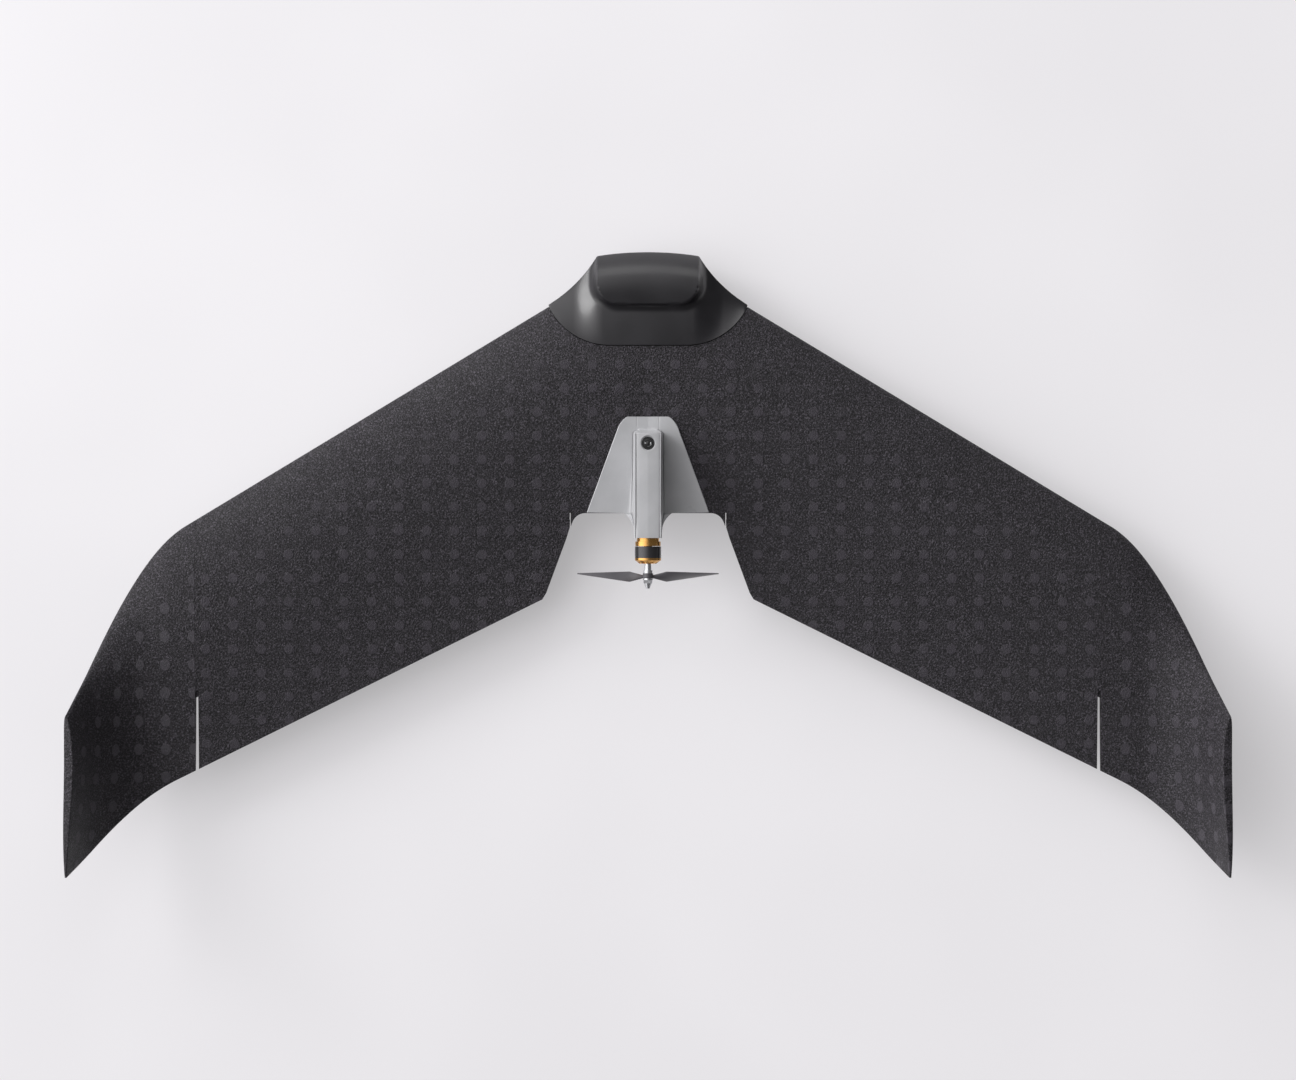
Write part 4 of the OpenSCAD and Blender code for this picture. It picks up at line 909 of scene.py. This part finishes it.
@dataclass
class Elevon:
    """One elevon and the flexible crease that joins it to the wing."""

    palette: Palette
    side: int
    gap: float = 0.0004
    step: float = 0.004
    count: int = 26
    recess: float = 0.0016
    reach_in: float = 0.0005
    end_lean: float = 0.3

    @property
    def word(self) -> str:
        """The side's name."""
        return "right" if self.side > 0 else "left"

    def ring(self, a: float) -> Ring:
        """Returns the elevon's ring at a distance from the centre line."""
        slant = math.cos(WING.hinge_angle)
        edge = WING.hinge_y(a) - self.gap / slant
        seat = edge - (WING.strip_w / 2 - self.gap) / slant
        drop = max(0.0, WING.hinge_z - WING.top(a, edge) + self.recess)
        lead = edge - drop * math.tan(WING.groove) / slant
        rear = max(WING.te(a), WING.bay_rear(a))
        foot = lead
        for _ in range(8):
            deep = WING.hinge_z - WING.bottom(a, foot)
            foot = WING.hinge_y(a) - (self.gap + deep * math.tan(WING.groove)) / slant
        foot = max(foot, rear + 0.0005)
        upper = [lerp(seat, rear, i / self.count) for i in range(self.count + 1)]
        lower = [lerp(rear, foot, i / self.count) for i in range(self.count + 1)]
        ring = [(a, lead, WING.top(a, lead) - self.recess), (a, seat, WING.top(a, seat) - self.recess)]
        ring += [(a, y, WING.top(a, y)) for y in upper] + [(a, y, WING.bottom(a, y)) for y in lower]
        return [(self.side * (x + self.lean(x, z)), y, z) for x, y, z in ring]

    def lean(self, a: float, z: float) -> float:
        """Returns how far the inner end stands back below the hinge, to clear the wing."""
        inner = a < WING.elevon_in - self.reach_in + self.step / 2
        return min(0.9 * self.step, self.end_lean * max(0.0, WING.hinge_z - z)) if inner else 0.0

    def build(self) -> bpy.types.Object:
        """Builds the elevon, and returns it."""
        places = spread(WING.elevon_in - self.reach_in, WING.half_span - WING.tip_slot, self.step)
        piece = loft(f"elevon_foam_{self.word}", [self.ring(a) for a in places])
        mark_moulding(piece, panel_place)
        self.palette.dress(piece, "charcoal_foam")
        return Berth(f"elevon_{self.word}", "foam", (f"elevon_{self.word}",)).settle(piece)

    def build_crease(self) -> bpy.types.Object:
        """Builds the thin foam over the hinge, and returns it."""
        slant = math.cos(WING.hinge_angle)
        half = WING.strip_w / 2 / slant - 0.00003
        rings = []
        for a in spread(WING.elevon_in + 0.0001, WING.half_span - WING.tip_slot, self.step):
            mid = WING.hinge_y(a)
            places = [lerp(mid + half, mid - half, i / 16) for i in range(17)]
            upper = [(self.side * a, y, WING.top(a, y)) for y in places]
            lower = [(self.side * a, y, WING.top(a, y) - self.recess + 0.0002) for y in reversed(places)]
            rings.append(upper + lower)
        piece = loft(f"elevon_crease_{self.word}", rings)
        mark_moulding(piece, panel_place)
        self.palette.dress(piece, "charcoal_foam")
        x = self.side * LINK_X
        mid = Vector((x, WING.hinge_y(x), WING.hinge_z))
        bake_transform(piece)
        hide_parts(f"elevon_hinge_{self.word}")
        LOG.info("%s bends across the hinge", piece.name)
        return piece


@dataclass
class Winglet:
    """One blended winglet."""

    palette: Palette
    side: int
    glue: float = 0.0002
    chord_count: int = 44
    edge_r: float = 0.0012

    @property
    def arc(self) -> float:
        """Length of the bend."""
        return WING.bend_r * WING.cant

    @property
    def total(self) -> float:
        """Length of the whole run, from the seam to the tip."""
        return WING.winglet_flat + self.arc + WING.straight

    def ring(self, s: float, inset: float) -> Ring:
        """Returns the ring at a distance along the run, with its outline drawn in by an inset."""
        run = max(0.0, min(s - WING.winglet_flat, self.arc))
        tilt = run / WING.bend_r
        past = max(0.0, s - WING.winglet_flat - self.arc)
        x = WING.half_span + min(s, WING.winglet_flat) + WING.bend_r * math.sin(tilt) + past * math.cos(tilt)
        z = WING.panel_z + WING.seam_rise + WING.bend_r * (1 - math.cos(tilt)) + past * math.sin(tilt)
        thick = lerp(WING.seam_thick, WING.tip_thick, s / self.total)
        lead, chord = WING.le(x), WING.le(x) - WING.te(x)
        ring = []
        for k in range(2 * self.chord_count + 1):
            up = k <= self.chord_count
            share = k if up else 2 * self.chord_count + 1 - k
            f = (1 - math.cos(math.pi * share / self.chord_count)) / 2
            half = max(0.00002, WING.half(thick, f) - inset)
            h = WING.camber(chord, f) + (half if up else -half)
            y = lerp(lead - inset, lead - chord + inset * 0.6, f)
            ring.append((self.side * (x - h * math.sin(tilt)), y, z + h * math.cos(tilt)))
        return ring

    def build(self) -> bpy.types.Object:
        """Builds the winglet with its rounded tip, and returns it."""
        runs = spread(self.glue, self.total - self.edge_r, 0.003)
        rings = [self.ring(s, 0.0) for s in runs]
        for i in range(1, 7):
            turn = math.pi / 2 * i / 6
            rings.append(self.ring(self.total - self.edge_r * (1 - math.sin(turn)),
                                   self.edge_r * (1 - math.cos(turn)) * 0.8))
        piece = loft(f"winglet_foam_{'right' if self.side > 0 else 'left'}", rings)
        self.mark(piece)
        self.palette.dress(piece, "charcoal_foam")
        word = "right" if self.side > 0 else "left"
        return Berth("airframe", "foam", (f"winglet_{word}",)).settle(piece)

    def mark(self, piece: bpy.types.Object) -> None:
        """Stores the pattern's place, which follows the surface round the bend."""
        hub_x, hub_z = WING.half_span + WING.winglet_flat, WING.panel_z + WING.seam_rise + WING.bend_r

        def place(co: Vector) -> Point:
            """Returns the pattern's place of a corner."""
            x = abs(co.x)
            if x <= hub_x:
                along = x
            else:
                turn = min(math.atan2(x - hub_x, hub_z - co.z), WING.cant)
                spoke = (math.sin(turn), -math.cos(turn))
                past = (x - hub_x) * math.cos(turn) + (co.z - hub_z) * math.sin(turn)
                along = hub_x + WING.bend_r * turn + (max(0.0, past) if turn >= WING.cant and spoke else 0.0)
            edge = smooth(0.03, 0.07, WING.le(min(x, WING.tip_x)) - co.y)
            first = 0.4763 if self.side > 0 else 0.4806
            return 0.495 + (along - first) * 0.98, co.y * 0.84 - 0.0008, edge

        mark_moulding(piece, place)


@dataclass
class Belly:
    """The foam belly below the deck, with the battery bay inside it."""

    palette: Palette

    def keel(self, y: float) -> float:
        """Returns the height of the belly's middle line."""
        rise = clamp((WING.aft(0.1998) - y) / (WING.aft(0.1998) - WING.bay_y)) ** 1.6
        return (NOSE.keel_z + (WING.bottom(0, WING.bay_y) - NOSE.keel_z) * rise
                + 0.007 * clamp((y - WING.aft(0.0698)) / 0.06) ** 2
                + 0.024 * (1 - quarter((WING.nose_y - y) / 0.013)))

    def ring(self, y: float) -> Ring:
        """Returns the belly's ring at a place along Y."""
        w, top, low = NOSE.belly_w(y), NOSE.deck_z - 0.0001, self.keel(y)
        edge = max(low, min(top - 0.001, WING.bottom(w, min(y, WING.le(w)))))
        shares = [1 - 2 * i / 56 for i in range(57)]
        lower = [(t * w, y, lerp(low, edge, smooth(0.36, 1.05, abs(t)) ** 0.9)) for t in shares]
        return [(-w, y, top), (w, y, top)] + lower

    def build(self) -> bpy.types.Object:
        """Builds the belly with its bay, bores and pockets, and returns it."""
        front = [WING.aft(0.03 * (1 - math.sin(math.pi / 2 * i / 24)) + 0.0005) for i in range(25)]
        runs = spread(WING.bay_y + 0.0002, WING.aft(0.031), 0.005) + front
        piece = loft("belly_shell", [self.ring(y) for y in runs])
        camera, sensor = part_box("camera_bezel"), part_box("belly_sensor")
        z = (camera[0].z + camera[1].z) / 2
        mid = (sensor[0] + sensor[1]) / 2
        cutters = [
            box_piece("cutter", (-0.042, WING.aft(0.2148), 0.006), (0.042, WING.aft(0.0298), 0.06)),
            rod_piece("cutter", (0, WING.aft(0.0308), z), (0, WING.nose_y + 0.01, z), 0.0129, steps=96),
            rod_piece("cutter", (0, mid.y, -0.01), (0, mid.y, 0.02), 0.0092, steps=64),
        ]
        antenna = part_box("gps_antenna")
        grow = Vector((0.0002, 0.0002, 0.0002))
        above = Vector((0.0002, 0.0002, 0.02))
        cutters.append(box_piece("cutter", tuple(antenna[0] - grow), tuple(antenna[1] + above)))
        for x, y in ((0.06, WING.aft(0.076)), (0.03, WING.aft(0.024))):
            for s in (-1, 1):
                foot = (s * x, y, NOSE.deck_z - 0.0023)
                cutters.append(rod_piece("cutter", foot, (s * x, y, 0.05), 0.0041))
        carve(piece, cutters)
        mark_moulding(piece, lambda co: (co.x, co.y, 0.0))
        self.palette.dress(piece, "charcoal_foam")
        return Berth("airframe", "belly_foam", ("belly_foam",)).settle(piece)


# ---- hood ---------------------------------------------------------------------------------


@dataclass
class Hood:
    """The lift-off nose hood with its raised block."""

    palette: Palette
    wall: float = 0.0022
    columns: int = 150
    rows: int = 84
    flank: float = 0.009
    sag: float = 0.006
    corner: float = 0.018

    @property
    def rim(self) -> float:
        """Height of the hood's lower rim."""
        return NOSE.deck_z + 0.0003

    def inset(self, x: float, y: float) -> float:
        """Returns how far a point lies inside the raised block's outline."""
        share = clamp((y - WING.aft(NOSE.block_rear)) / NOSE.block_rear)
        ax = lerp(NOSE.block_half_w, NOSE.half_w + 0.0007, share) - abs(x)
        ay = y - WING.aft(NOSE.block_rear)
        if ax < self.corner and ay < self.corner:
            return self.corner - math.hypot(self.corner - ax, self.corner - ay)
        return min(ax, ay)

    def height(self, x: float, y: float) -> float:
        """Returns the height of the hood's outer side."""
        back, front = NOSE.back(x), NOSE.front(x)
        v = clamp((y - back) / (front - back))
        low = self.rim + 0.002
        high = WING.top(x, back) + 0.001
        k = smooth(0.045, 0.075, abs(x))
        base = lerp(low, max(high, low + 0.0002), (1 - k) * (1 - v**2.4) + k * (1 - v) ** 1.15)
        roll = 1 - (1 - clamp((front - y) / 0.046)) ** 2.8
        top = lerp(low, NOSE.block_z, roll) - self.sag * clamp((front - y - 0.03) / 0.045) ** 2
        out = max(0.0, -self.inset(x, y) - 0.0004)
        reach = min(self.flank, out + 0.75 * max(0.0, front - y) + 0.0001)
        return lerp(base, max(base, top), (1 - clamp(out / reach)) ** 2.1)

    def ring(self, x: float, inset: float, floor: float) -> Ring:
        """Returns one ring across the hood, drawn in and down by an inset."""
        back = NOSE.back(x) + 0.0003 + inset
        front = max(NOSE.front(x) - 0.0003 - inset, back + 0.0006)
        ring = [(x, front + 0.0002, floor)]
        for j in range(self.rows, -1, -1):
            y = lerp(back, front, j / self.rows)
            ring.append((x, y, max(self.rim + 0.0004, self.height(x, y) - inset)))
        return ring + [(x, back - 0.0002, floor)]

    def shell(self, name: str, inset: float, floor: float) -> bpy.types.Object:
        """Builds one closed body of the hood's outer or inner side."""
        half = NOSE.hood_half_w - 0.0005 - inset
        xs = [lerp(-half, half, i / self.columns) for i in range(self.columns + 1)]
        return loft(name, [self.ring(x, inset, floor) for x in xs], 40)

    def build(self) -> bpy.types.Object:
        """Builds the hood as a shell, and returns it."""
        piece = self.shell("nose_hood", 0.0, self.rim)
        carve(piece, [self.shell("cutter", self.wall, self.rim - 0.002)], 40)
        self.palette.dress(piece, "hood_black")
        return Berth("hood", "hood_plastic", ("hood",)).settle(piece)


# ---- cowl ---------------------------------------------------------------------------------


def curve_through(points: Sequence[tuple[float, float]], steps: int) -> list[tuple[float, float]]:
    """Returns a smooth curve through points, with a number of steps between each two."""
    padded = [points[0], *points, points[-1]]
    found = []
    for i in range(1, len(padded) - 2):
        p0, p1, p2, p3 = (np.array(p) for p in padded[i - 1 : i + 3])
        for j in range(steps):
            t = j / steps
            found.append(tuple(0.5 * (2 * p1 + (p2 - p0) * t + (2 * p0 - 5 * p1 + 4 * p2 - p3) * t**2
                                      + (3 * p1 - p0 - 3 * p2 + p3) * t**3)))
    return found + [tuple(points[-1])]


@dataclass
class Cowl:
    """The motor cowl: a plate over the foam, a spine along it and a boom behind."""

    palette: Palette
    front: float = 0.1645
    front_w: float = 0.019
    rear_w: float = 0.0611
    wall: float = 0.0018
    spine_front: float = 0.1768
    top_w: float = 0.0124
    base: float = 0.015
    skirt_w: float = 0.024
    face: float = 0.005
    front_z: float = 0.092
    motor_z: float = 0.076
    firewall_back: float = 0.2854
    corner: float = 0.0046
    flare_w: float = 0.0234
    flare_power: float = 3.2

    @property
    def boom_end(self) -> float:
        """Place of the boom's rear end."""
        return WING.aft(self.firewall_back)

    @property
    def spine_y(self) -> float:
        """Place of the spine's front face."""
        return WING.aft(self.spine_front)

    def spine_z(self, y: float) -> float:
        """Returns the height of the spine's top."""
        return lerp(self.motor_z + 0.014, self.front_z, (y - self.boom_end) / (self.spine_y - self.boom_end))

    def skirt(self, y: float) -> float:
        """Returns the half-width at the foot of the spine's hollow sides."""
        if y > WING.bay_y:
            share = clamp((self.spine_y - y) / (self.spine_y - WING.bay_y))
            return lerp(self.base + 0.0015, self.skirt_w, share**2)
        share = clamp((y - self.boom_end) / (WING.bay_y - self.boom_end))
        return lerp(self.top_w + 0.0007, self.flare_w, share**self.flare_power)

    def plate_w(self, y: float) -> float:
        """Returns the plate's half-width."""
        front, corner = WING.aft(self.front), 0.013
        straight = front - corner * 0.87
        edge = lerp(self.front_w + corner * 0.84, self.rear_w, (straight - y) / (straight - WING.bay_y))
        if y <= straight:
            return edge
        return self.front_w + (edge - self.front_w) * quarter((front - y) / (front - straight))

    def under(self, x: float, y: float) -> float:
        """Returns the height of the plate's lower side."""
        return WING.top(x, y) + 0.0003

    def ring(self, y: float) -> Ring:
        """Returns the cowl's ring at a place along Y."""
        shut = y <= WING.bay_y + 1e-5
        share = (y - self.boom_end) / (WING.bay_y - self.boom_end)
        g = self.skirt(y)
        b = min(self.base, lerp(self.top_w + 0.0004, self.base, share))
        w = g + 0.0006 if shut else max(self.plate_w(y), g + 0.001)
        turn = self.corner * (1 - quarter((self.spine_y - 0.3 * self.face - y) / self.corner))
        b, g = b - turn, g - turn
        t, f, top = self.top_w - turn, g - b, self.spine_z(y)
        lift = smooth(0, 1, (self.spine_y - y) / self.face)
        boom = lerp(self.motor_z - 0.014, self.under(0, WING.bay_y), clamp(share) ** 1.3)

        def low(x: float) -> float:
            """Returns the height of the lower side."""
            if not shut:
                return self.under(x, y)
            hollow = boom - 0.002 * (1 - (x / w) ** 2)
            return lerp(self.under(x, WING.bay_y), hollow, clamp((WING.bay_y - y) / 0.004))

        outline = [(w, False, 0.0), (w - 0.0006, False, 0.0005), ((w + g) / 2, False, 0.0005),
                   (g, False, 0.0005), (b + 0.3 * f, False, 0.2 * f), (b + 0.05 * f, False, 0.75 * f),
                   (t + 0.0005, True, -0.003),
                   (t - 0.0006, True, -0.0009), (t - 0.003, True, -0.0001), (0.0, True, 0.0004)]
        flat = []
        for x, high, dz in outline:
            plate = low(x) + self.wall - 0.0005
            rest = plate + (0.0005 if high else min(dz, 0.0005))
            flat.append((x, lerp(rest, top + dz if high else plate + dz, lift)))
        right = [flat[0]] + curve_through(flat[1:], 5)
        under = [(x, low(x)) for x, _ in right]
        return ([(-x, y, z) for x, z in right] + [(x, y, z) for x, z in reversed(right[:-1])]
                + [(x, y, z) for x, z in under] + [(-x, y, z) for x, z in reversed(under[:-1])])

    def build(self) -> bpy.types.Object:
        """Builds the cowl with its button seat, and returns it."""
        round_off = [0.0105 * (1 - math.sin(math.pi / 2 * i / 14)) for i in range(15)]
        runs = (spread(self.boom_end, WING.bay_y, 0.0012) + [WING.bay_y + 0.0006]
                + spread(WING.bay_y + 0.002, self.spine_y - 0.007, 0.003)
                + spread(self.spine_y - 0.006, self.spine_y + 0.0002, 0.0004)
                + [WING.aft(self.front) - back - 0.0002 for back in round_off])
        piece = loft("cowl_shell", [self.ring(y) for y in sorted(set(runs))], 38)
        button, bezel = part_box("power_button"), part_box("button_bezel")
        y = (bezel[0].y + bezel[1].y) / 2
        r = (bezel[1].x - bezel[0].x) / 2
        z = bezel[1].z
        cutters = [
            rod_piece("cutter", (0, y, z - 0.013), (0, y, z + 0.01), r + 0.0001, steps=72),
            rod_piece("cutter", (0, y, z - 0.0006), (0, y, z + 0.0016), r + 0.0003, r + 0.0026, steps=72),
            rod_piece("cutter", (0, self.boom_end + 0.0031, self.motor_z),
                      (0, self.boom_end - 0.01, self.motor_z), 0.0117, steps=72),
        ]
        carve(piece, cutters, 38)
        self.palette.dress(piece, "cowl_grey")
        return Berth("airframe", "cowl_plastic", ("motor_cowl", "motor_boom")).settle(piece)


@dataclass
class PowerButton:
    """The round button on the spine, with two lights and a wound spring below."""

    palette: Palette
    turns: int = 4
    wire_r: float = 0.00025
    travel: float = 0.001

    def build(self) -> bpy.types.Object:
        """Builds the button's cap and its lights, and returns the cap."""
        low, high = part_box("power_button")
        y, r = (low.y + high.y) / 2, 0.0044
        top = high.z
        profile = [(0.0, 0.0), (0.0, r + 0.0008), (0.0012, r + 0.0008), (0.0012, r), (0.0034, r),
                   (0.0038, r - 0.0003), (0.0039, r - 0.0009), (0.0036, r - 0.0013), (0.0036, 0.0022),
                   (0.0039, 0.0019), (0.0041, 0.0011), (0.0042, 0.0)]
        cap = lathe("button_cap", profile, (0, y, top - 0.0042), "z")
        self.palette.dress(cap, "button_black")
        Berth("power_button", "button_plastic", ("power_button",)).settle(cap)
        for side in (-1, 1):
            pip = lathe(f"button_light_{'right' if side > 0 else 'left'}",
                        [(0.0, 0.0), (0.0, 0.0006), (0.0004, 0.0005), (0.00055, 0.0)],
                        (side * 0.0027, y, top - 0.00062), "z", 20)
            self.palette.dress(pip, "button_pip")
            Berth("power_button", "button_plastic").settle(pip)
        return cap

    def build_spring(self) -> bpy.types.Object:
        """Builds the wound spring, and returns it."""
        low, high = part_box("button_spring")
        mid, steps = (low + high) / 2, 24
        r, tall = (high.x - low.x) / 2 - self.wire_r, high.z - low.z - 2 * self.wire_r
        rings = []
        for i in range(self.turns * steps + 1):
            turn = 2 * math.pi * i / steps
            out = Vector((math.cos(turn), math.sin(turn), 0))
            lift = Vector((0, 0, low.z + self.wire_r + tall * i / (self.turns * steps)))
            centre = Vector((mid.x, mid.y, 0)) + lift + out * r
            around = [2 * math.pi * k / 10 for k in range(10)]
            rings.append([tuple(centre + (out * math.cos(a) + Vector((0, 0, 1)) * math.sin(a)) * self.wire_r)
                          for a in around])
        coil = loft("button_coil", rings)
        self.palette.dress(coil, "ground_steel")
        Berth("airframe", "spring_steel", ("button_spring",)).settle(coil)
        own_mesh(coil)
        return coil


# ---- propeller ----------------------------------------------------------------------------


@dataclass
class Propeller:
    """The two-blade propeller."""

    palette: Palette
    radius: float = 0.07
    pitch: float = 0.114
    root_r: float = 0.0044
    knee_r: float = 0.0184
    root_deep: float = 0.0028
    deep: float = 0.0102
    tip_deep: float = 0.0008
    knee_back: float = -0.0009
    tip_ahead: float = 0.0022

    def twist(self, r: float) -> float:
        """Returns the blade's angle at a radius."""
        return min(math.radians(64), math.atan(self.pitch / (2 * math.pi * r)))

    def chord(self, r: float) -> float:
        """Returns the blade's width at a radius, from how deep the blade looks from above."""
        rising = lerp(self.root_deep, self.deep, (r - self.root_r) / (self.knee_r - self.root_r))
        falling = lerp(self.deep, self.tip_deep, (r - self.knee_r) / (self.radius - self.knee_r))
        return min(rising, falling) / math.sin(self.twist(r))

    def sweep(self, r: float) -> float:
        """Returns how far ahead of the hub's middle the blade's middle lies."""
        return lerp(self.knee_back, self.tip_ahead, clamp((r - self.knee_r) / (self.radius - self.knee_r)))

    def ring(self, r: float, mid: Vector, turn: int) -> Ring:
        """Returns the blade's section at a radius."""
        twist = self.twist(r)
        c, t = self.chord(r), lerp(0.0019, 0.0007, r / self.radius)
        ring = []
        for i in range(28):
            a = 2 * math.pi * i / 28
            u = c / 2 * math.cos(a)
            v = t / 2 * math.sin(a) + 0.035 * c * (1 - (2 * u / c) ** 2)
            y, z = u * math.sin(twist) - v * math.cos(twist), u * math.cos(twist) + v * math.sin(twist)
            ring.append((turn * r, mid.y + self.sweep(r) + y, mid.z + turn * z))
        return ring

    def build(self) -> bpy.types.Object:
        """Builds the blades and the hub as one piece, and returns it."""
        low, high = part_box("propeller")
        washer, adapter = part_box("prop_washer"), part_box("prop_adapter")
        mid = Vector((0, (low.y + high.y) / 2, (low.z + high.z) / 2))
        back = washer[1].y + 0.0001
        front = back + 0.005
        mid.y = (front + back) / 2
        runs = spread(0.0036, self.radius * 0.94, 0.0012) + spread(self.radius * 0.945, self.radius, 0.0004)
        blades = [loft("blade", [self.ring(r, mid, turn) for r in runs]) for turn in (1, -1)]
        r, e = 0.0052, 0.0005
        hub = lathe("propeller_blades", [(0.0, 0.0025), (0.0, r - e), (e, r), (0.005 - e, r), (0.005, r - e),
                                         (0.005, 0.0025)], (0, front, mid.z))
        merge(hub, blades, 40)
        self.palette.dress(hub, "prop_grey")
        return Berth("prop_rotor", "prop_plastic", ("propeller",)).settle(hub)


# ---- carried-over nodes -------------------------------------------------------------------

NODE_FINISHES = {
    "hood_magnets": "magnet_nickel", "deck_magnets": "magnet_nickel", "bell_magnets": "magnet_nickel",
    "cowl_studs": "cowl_grey", "motor_firewall": "module_black", "motor_screws": "ground_steel",
    "motor_base": "gold_alloy", "stator_core": "stator_steel", "stator_windings": "enamel_copper",
    "motor_bearings": "ground_steel", "motor_bell": "can_black", "bell_end_cap": "gold_alloy",
    "motor_shaft": "ground_steel", "shaft_circlip": "ground_steel", "prop_adapter": "turned_alloy",
    "prop_washer": "turned_alloy", "prop_nut": "turned_alloy", "motor_leads": "lead_rubber",
    "power_leads": "lead_red", "button_bezel": "button_black",
    "switch_board": "board_green", "servo_left": "servo_case", "servo_right": "servo_case",
    "servo_arm_left": "nylon_white", "servo_arm_right": "nylon_white", "servo_arm_screw_left": "ground_steel",
    "servo_arm_screw_right": "ground_steel", "pushrod_left": "ground_steel", "pushrod_right": "ground_steel",
    "control_horn_left": "nylon_white", "control_horn_right": "nylon_white", "servo_leads": "lead_rubber",
    "battery_pack": "battery_wrap", "battery_strap": "strap_webbing", "autopilot_module": "module_black",
    "esc_board": "board_green", "gps_antenna": "antenna_ceramic", "camera_body": "module_black",
    "camera_lens": "lens_glass", "camera_bezel": "module_black", "main_spars": "carbon_tube",
    "spar_joiner": "joiner_black", "rear_rods": "carbon_tube", "winglet_pegs": "carbon_tube",
    "belly_skids": "skid_black", "belly_sensor": "module_black",
}


def dress_nodes(palette: Palette) -> None:
    """Gives every CAD node that stays its finish."""
    for name, finish in NODE_FINISHES.items():
        dress_node(name, palette, finish)
    LOG.info("%d frame nodes dressed", len(NODE_FINISHES))


# ---- studio -------------------------------------------------------------------------------


@dataclass
class Studio:
    """A pale floor, a soft sky that is brightest ahead on the left, and a camera that looks straight down."""

    width: float = 1.2915
    centre_y: float = 0.0224
    plane_z: float = 0.045
    distance: float = 5.0
    sensor: float = 36.0
    sky_from: Point = (-0.86, 0.42, 0.26)
    sky_dark: float = 0.15
    sky_bright: float = 2.5
    floor_glow: float = 0.36

    def build(self) -> None:
        """Builds the floor, the lights, the surroundings and the camera."""
        scene = bpy.context.scene
        scene.view_settings.view_transform = "Standard"
        self.build_floor()
        self.build_world()
        self.build_light("key", (-2.4, 1.5, 1.3), 1.1, 42)
        self.build_light("front", (0.1, 2.6, 1.0), 1.2, 7)
        camera = bpy.data.objects.new("camera", bpy.data.cameras.new("camera"))
        scene.collection.objects.link(camera)
        camera.data.sensor_width = self.sensor
        camera.data.lens = self.sensor * self.distance / self.width
        camera.location = (0, self.centre_y, self.plane_z + self.distance)
        scene.camera = camera

    def build_floor(self) -> None:
        """Builds the floor that the aeroplane stands on, lit a little from within to soften the shadows."""
        size = 6.0
        floor = mesh_piece("floor", [(-size, -size, 0), (size, -size, 0), (size, size, 0), (-size, size, 0)],
                           [(0, 1, 2, 3)])
        graph = Graph("floor_paper")
        share = graph.span(graph.noise(0.4, 2), 0.3, 0.7)
        paper = graph.blend(share, (0.46, 0.455, 0.47, 1), (0.49, 0.485, 0.50, 1))
        graph.feed(graph.surface.inputs["Base Color"], paper)
        graph.feed(graph.surface.inputs["Roughness"], graph.span(share, 0, 1, 0.85, 0.95))
        graph.feed(graph.surface.inputs["Specular IOR Level"], 0.0)
        graph.feed(graph.surface.inputs["Emission Color"], (1.0, 0.985, 1.0, 1))
        graph.feed(graph.surface.inputs["Emission Strength"], self.floor_glow)
        floor.data.materials.append(graph.material)

    def build_world(self) -> None:
        """Builds surroundings that are bright ahead on the left and dark behind on the right."""
        world = bpy.data.worlds.new("studio")
        world.use_nodes = True
        tree = world.node_tree
        way = tree.nodes.new("ShaderNodeTexCoord")
        along = tree.nodes.new("ShaderNodeVectorMath")
        along.operation = "DOT_PRODUCT"
        along.inputs[1].default_value = Vector(self.sky_from).normalized()
        ramp = tree.nodes.new("ShaderNodeMapRange")
        ramp.interpolation_type = "SMOOTHSTEP"
        for socket, value in zip(list(ramp.inputs)[1:5], (0.1, 1.0, self.sky_dark, self.sky_bright)):
            socket.default_value = value
        tree.links.new(way.outputs["Generated"], along.inputs[0])
        tree.links.new(along.outputs["Value"], ramp.inputs[0])
        back = tree.nodes["Background"]
        back.inputs["Color"].default_value = (1.0, 0.985, 1.0, 1)
        tree.links.new(ramp.outputs[0], back.inputs["Strength"])
        bpy.context.scene.world = world

    def build_light(self, name: str, place: Point, size: float, power: float) -> None:
        """Builds one square soft light that faces the aeroplane."""
        data = bpy.data.lights.new(name, "AREA")
        data.size = size
        data.energy = power
        light = bpy.data.objects.new(name, data)
        light.location = place
        light.rotation_euler = (-Vector(place)).to_track_quat("-Z", "Y").to_euler()
        bpy.context.scene.collection.objects.link(light)


def main() -> None:
    """Builds the studio and every piece in order."""
    logging.basicConfig(level=logging.INFO, format="%(name)s: %(message)s")
    Studio().build()
    palette = Palette()
    WingFoam(palette).build()
    for side in (-1, 1):
        elevon = Elevon(palette, side)
        elevon.build()
        elevon.build_crease()
        Winglet(palette, side).build()
    Belly(palette).build()
    Hood(palette).build()
    Cowl(palette).build()
    button = PowerButton(palette)
    button.build()
    button.build_spring()
    Propeller(palette).build()
    dress_nodes(palette)


if __name__ == "__main__":
    main()
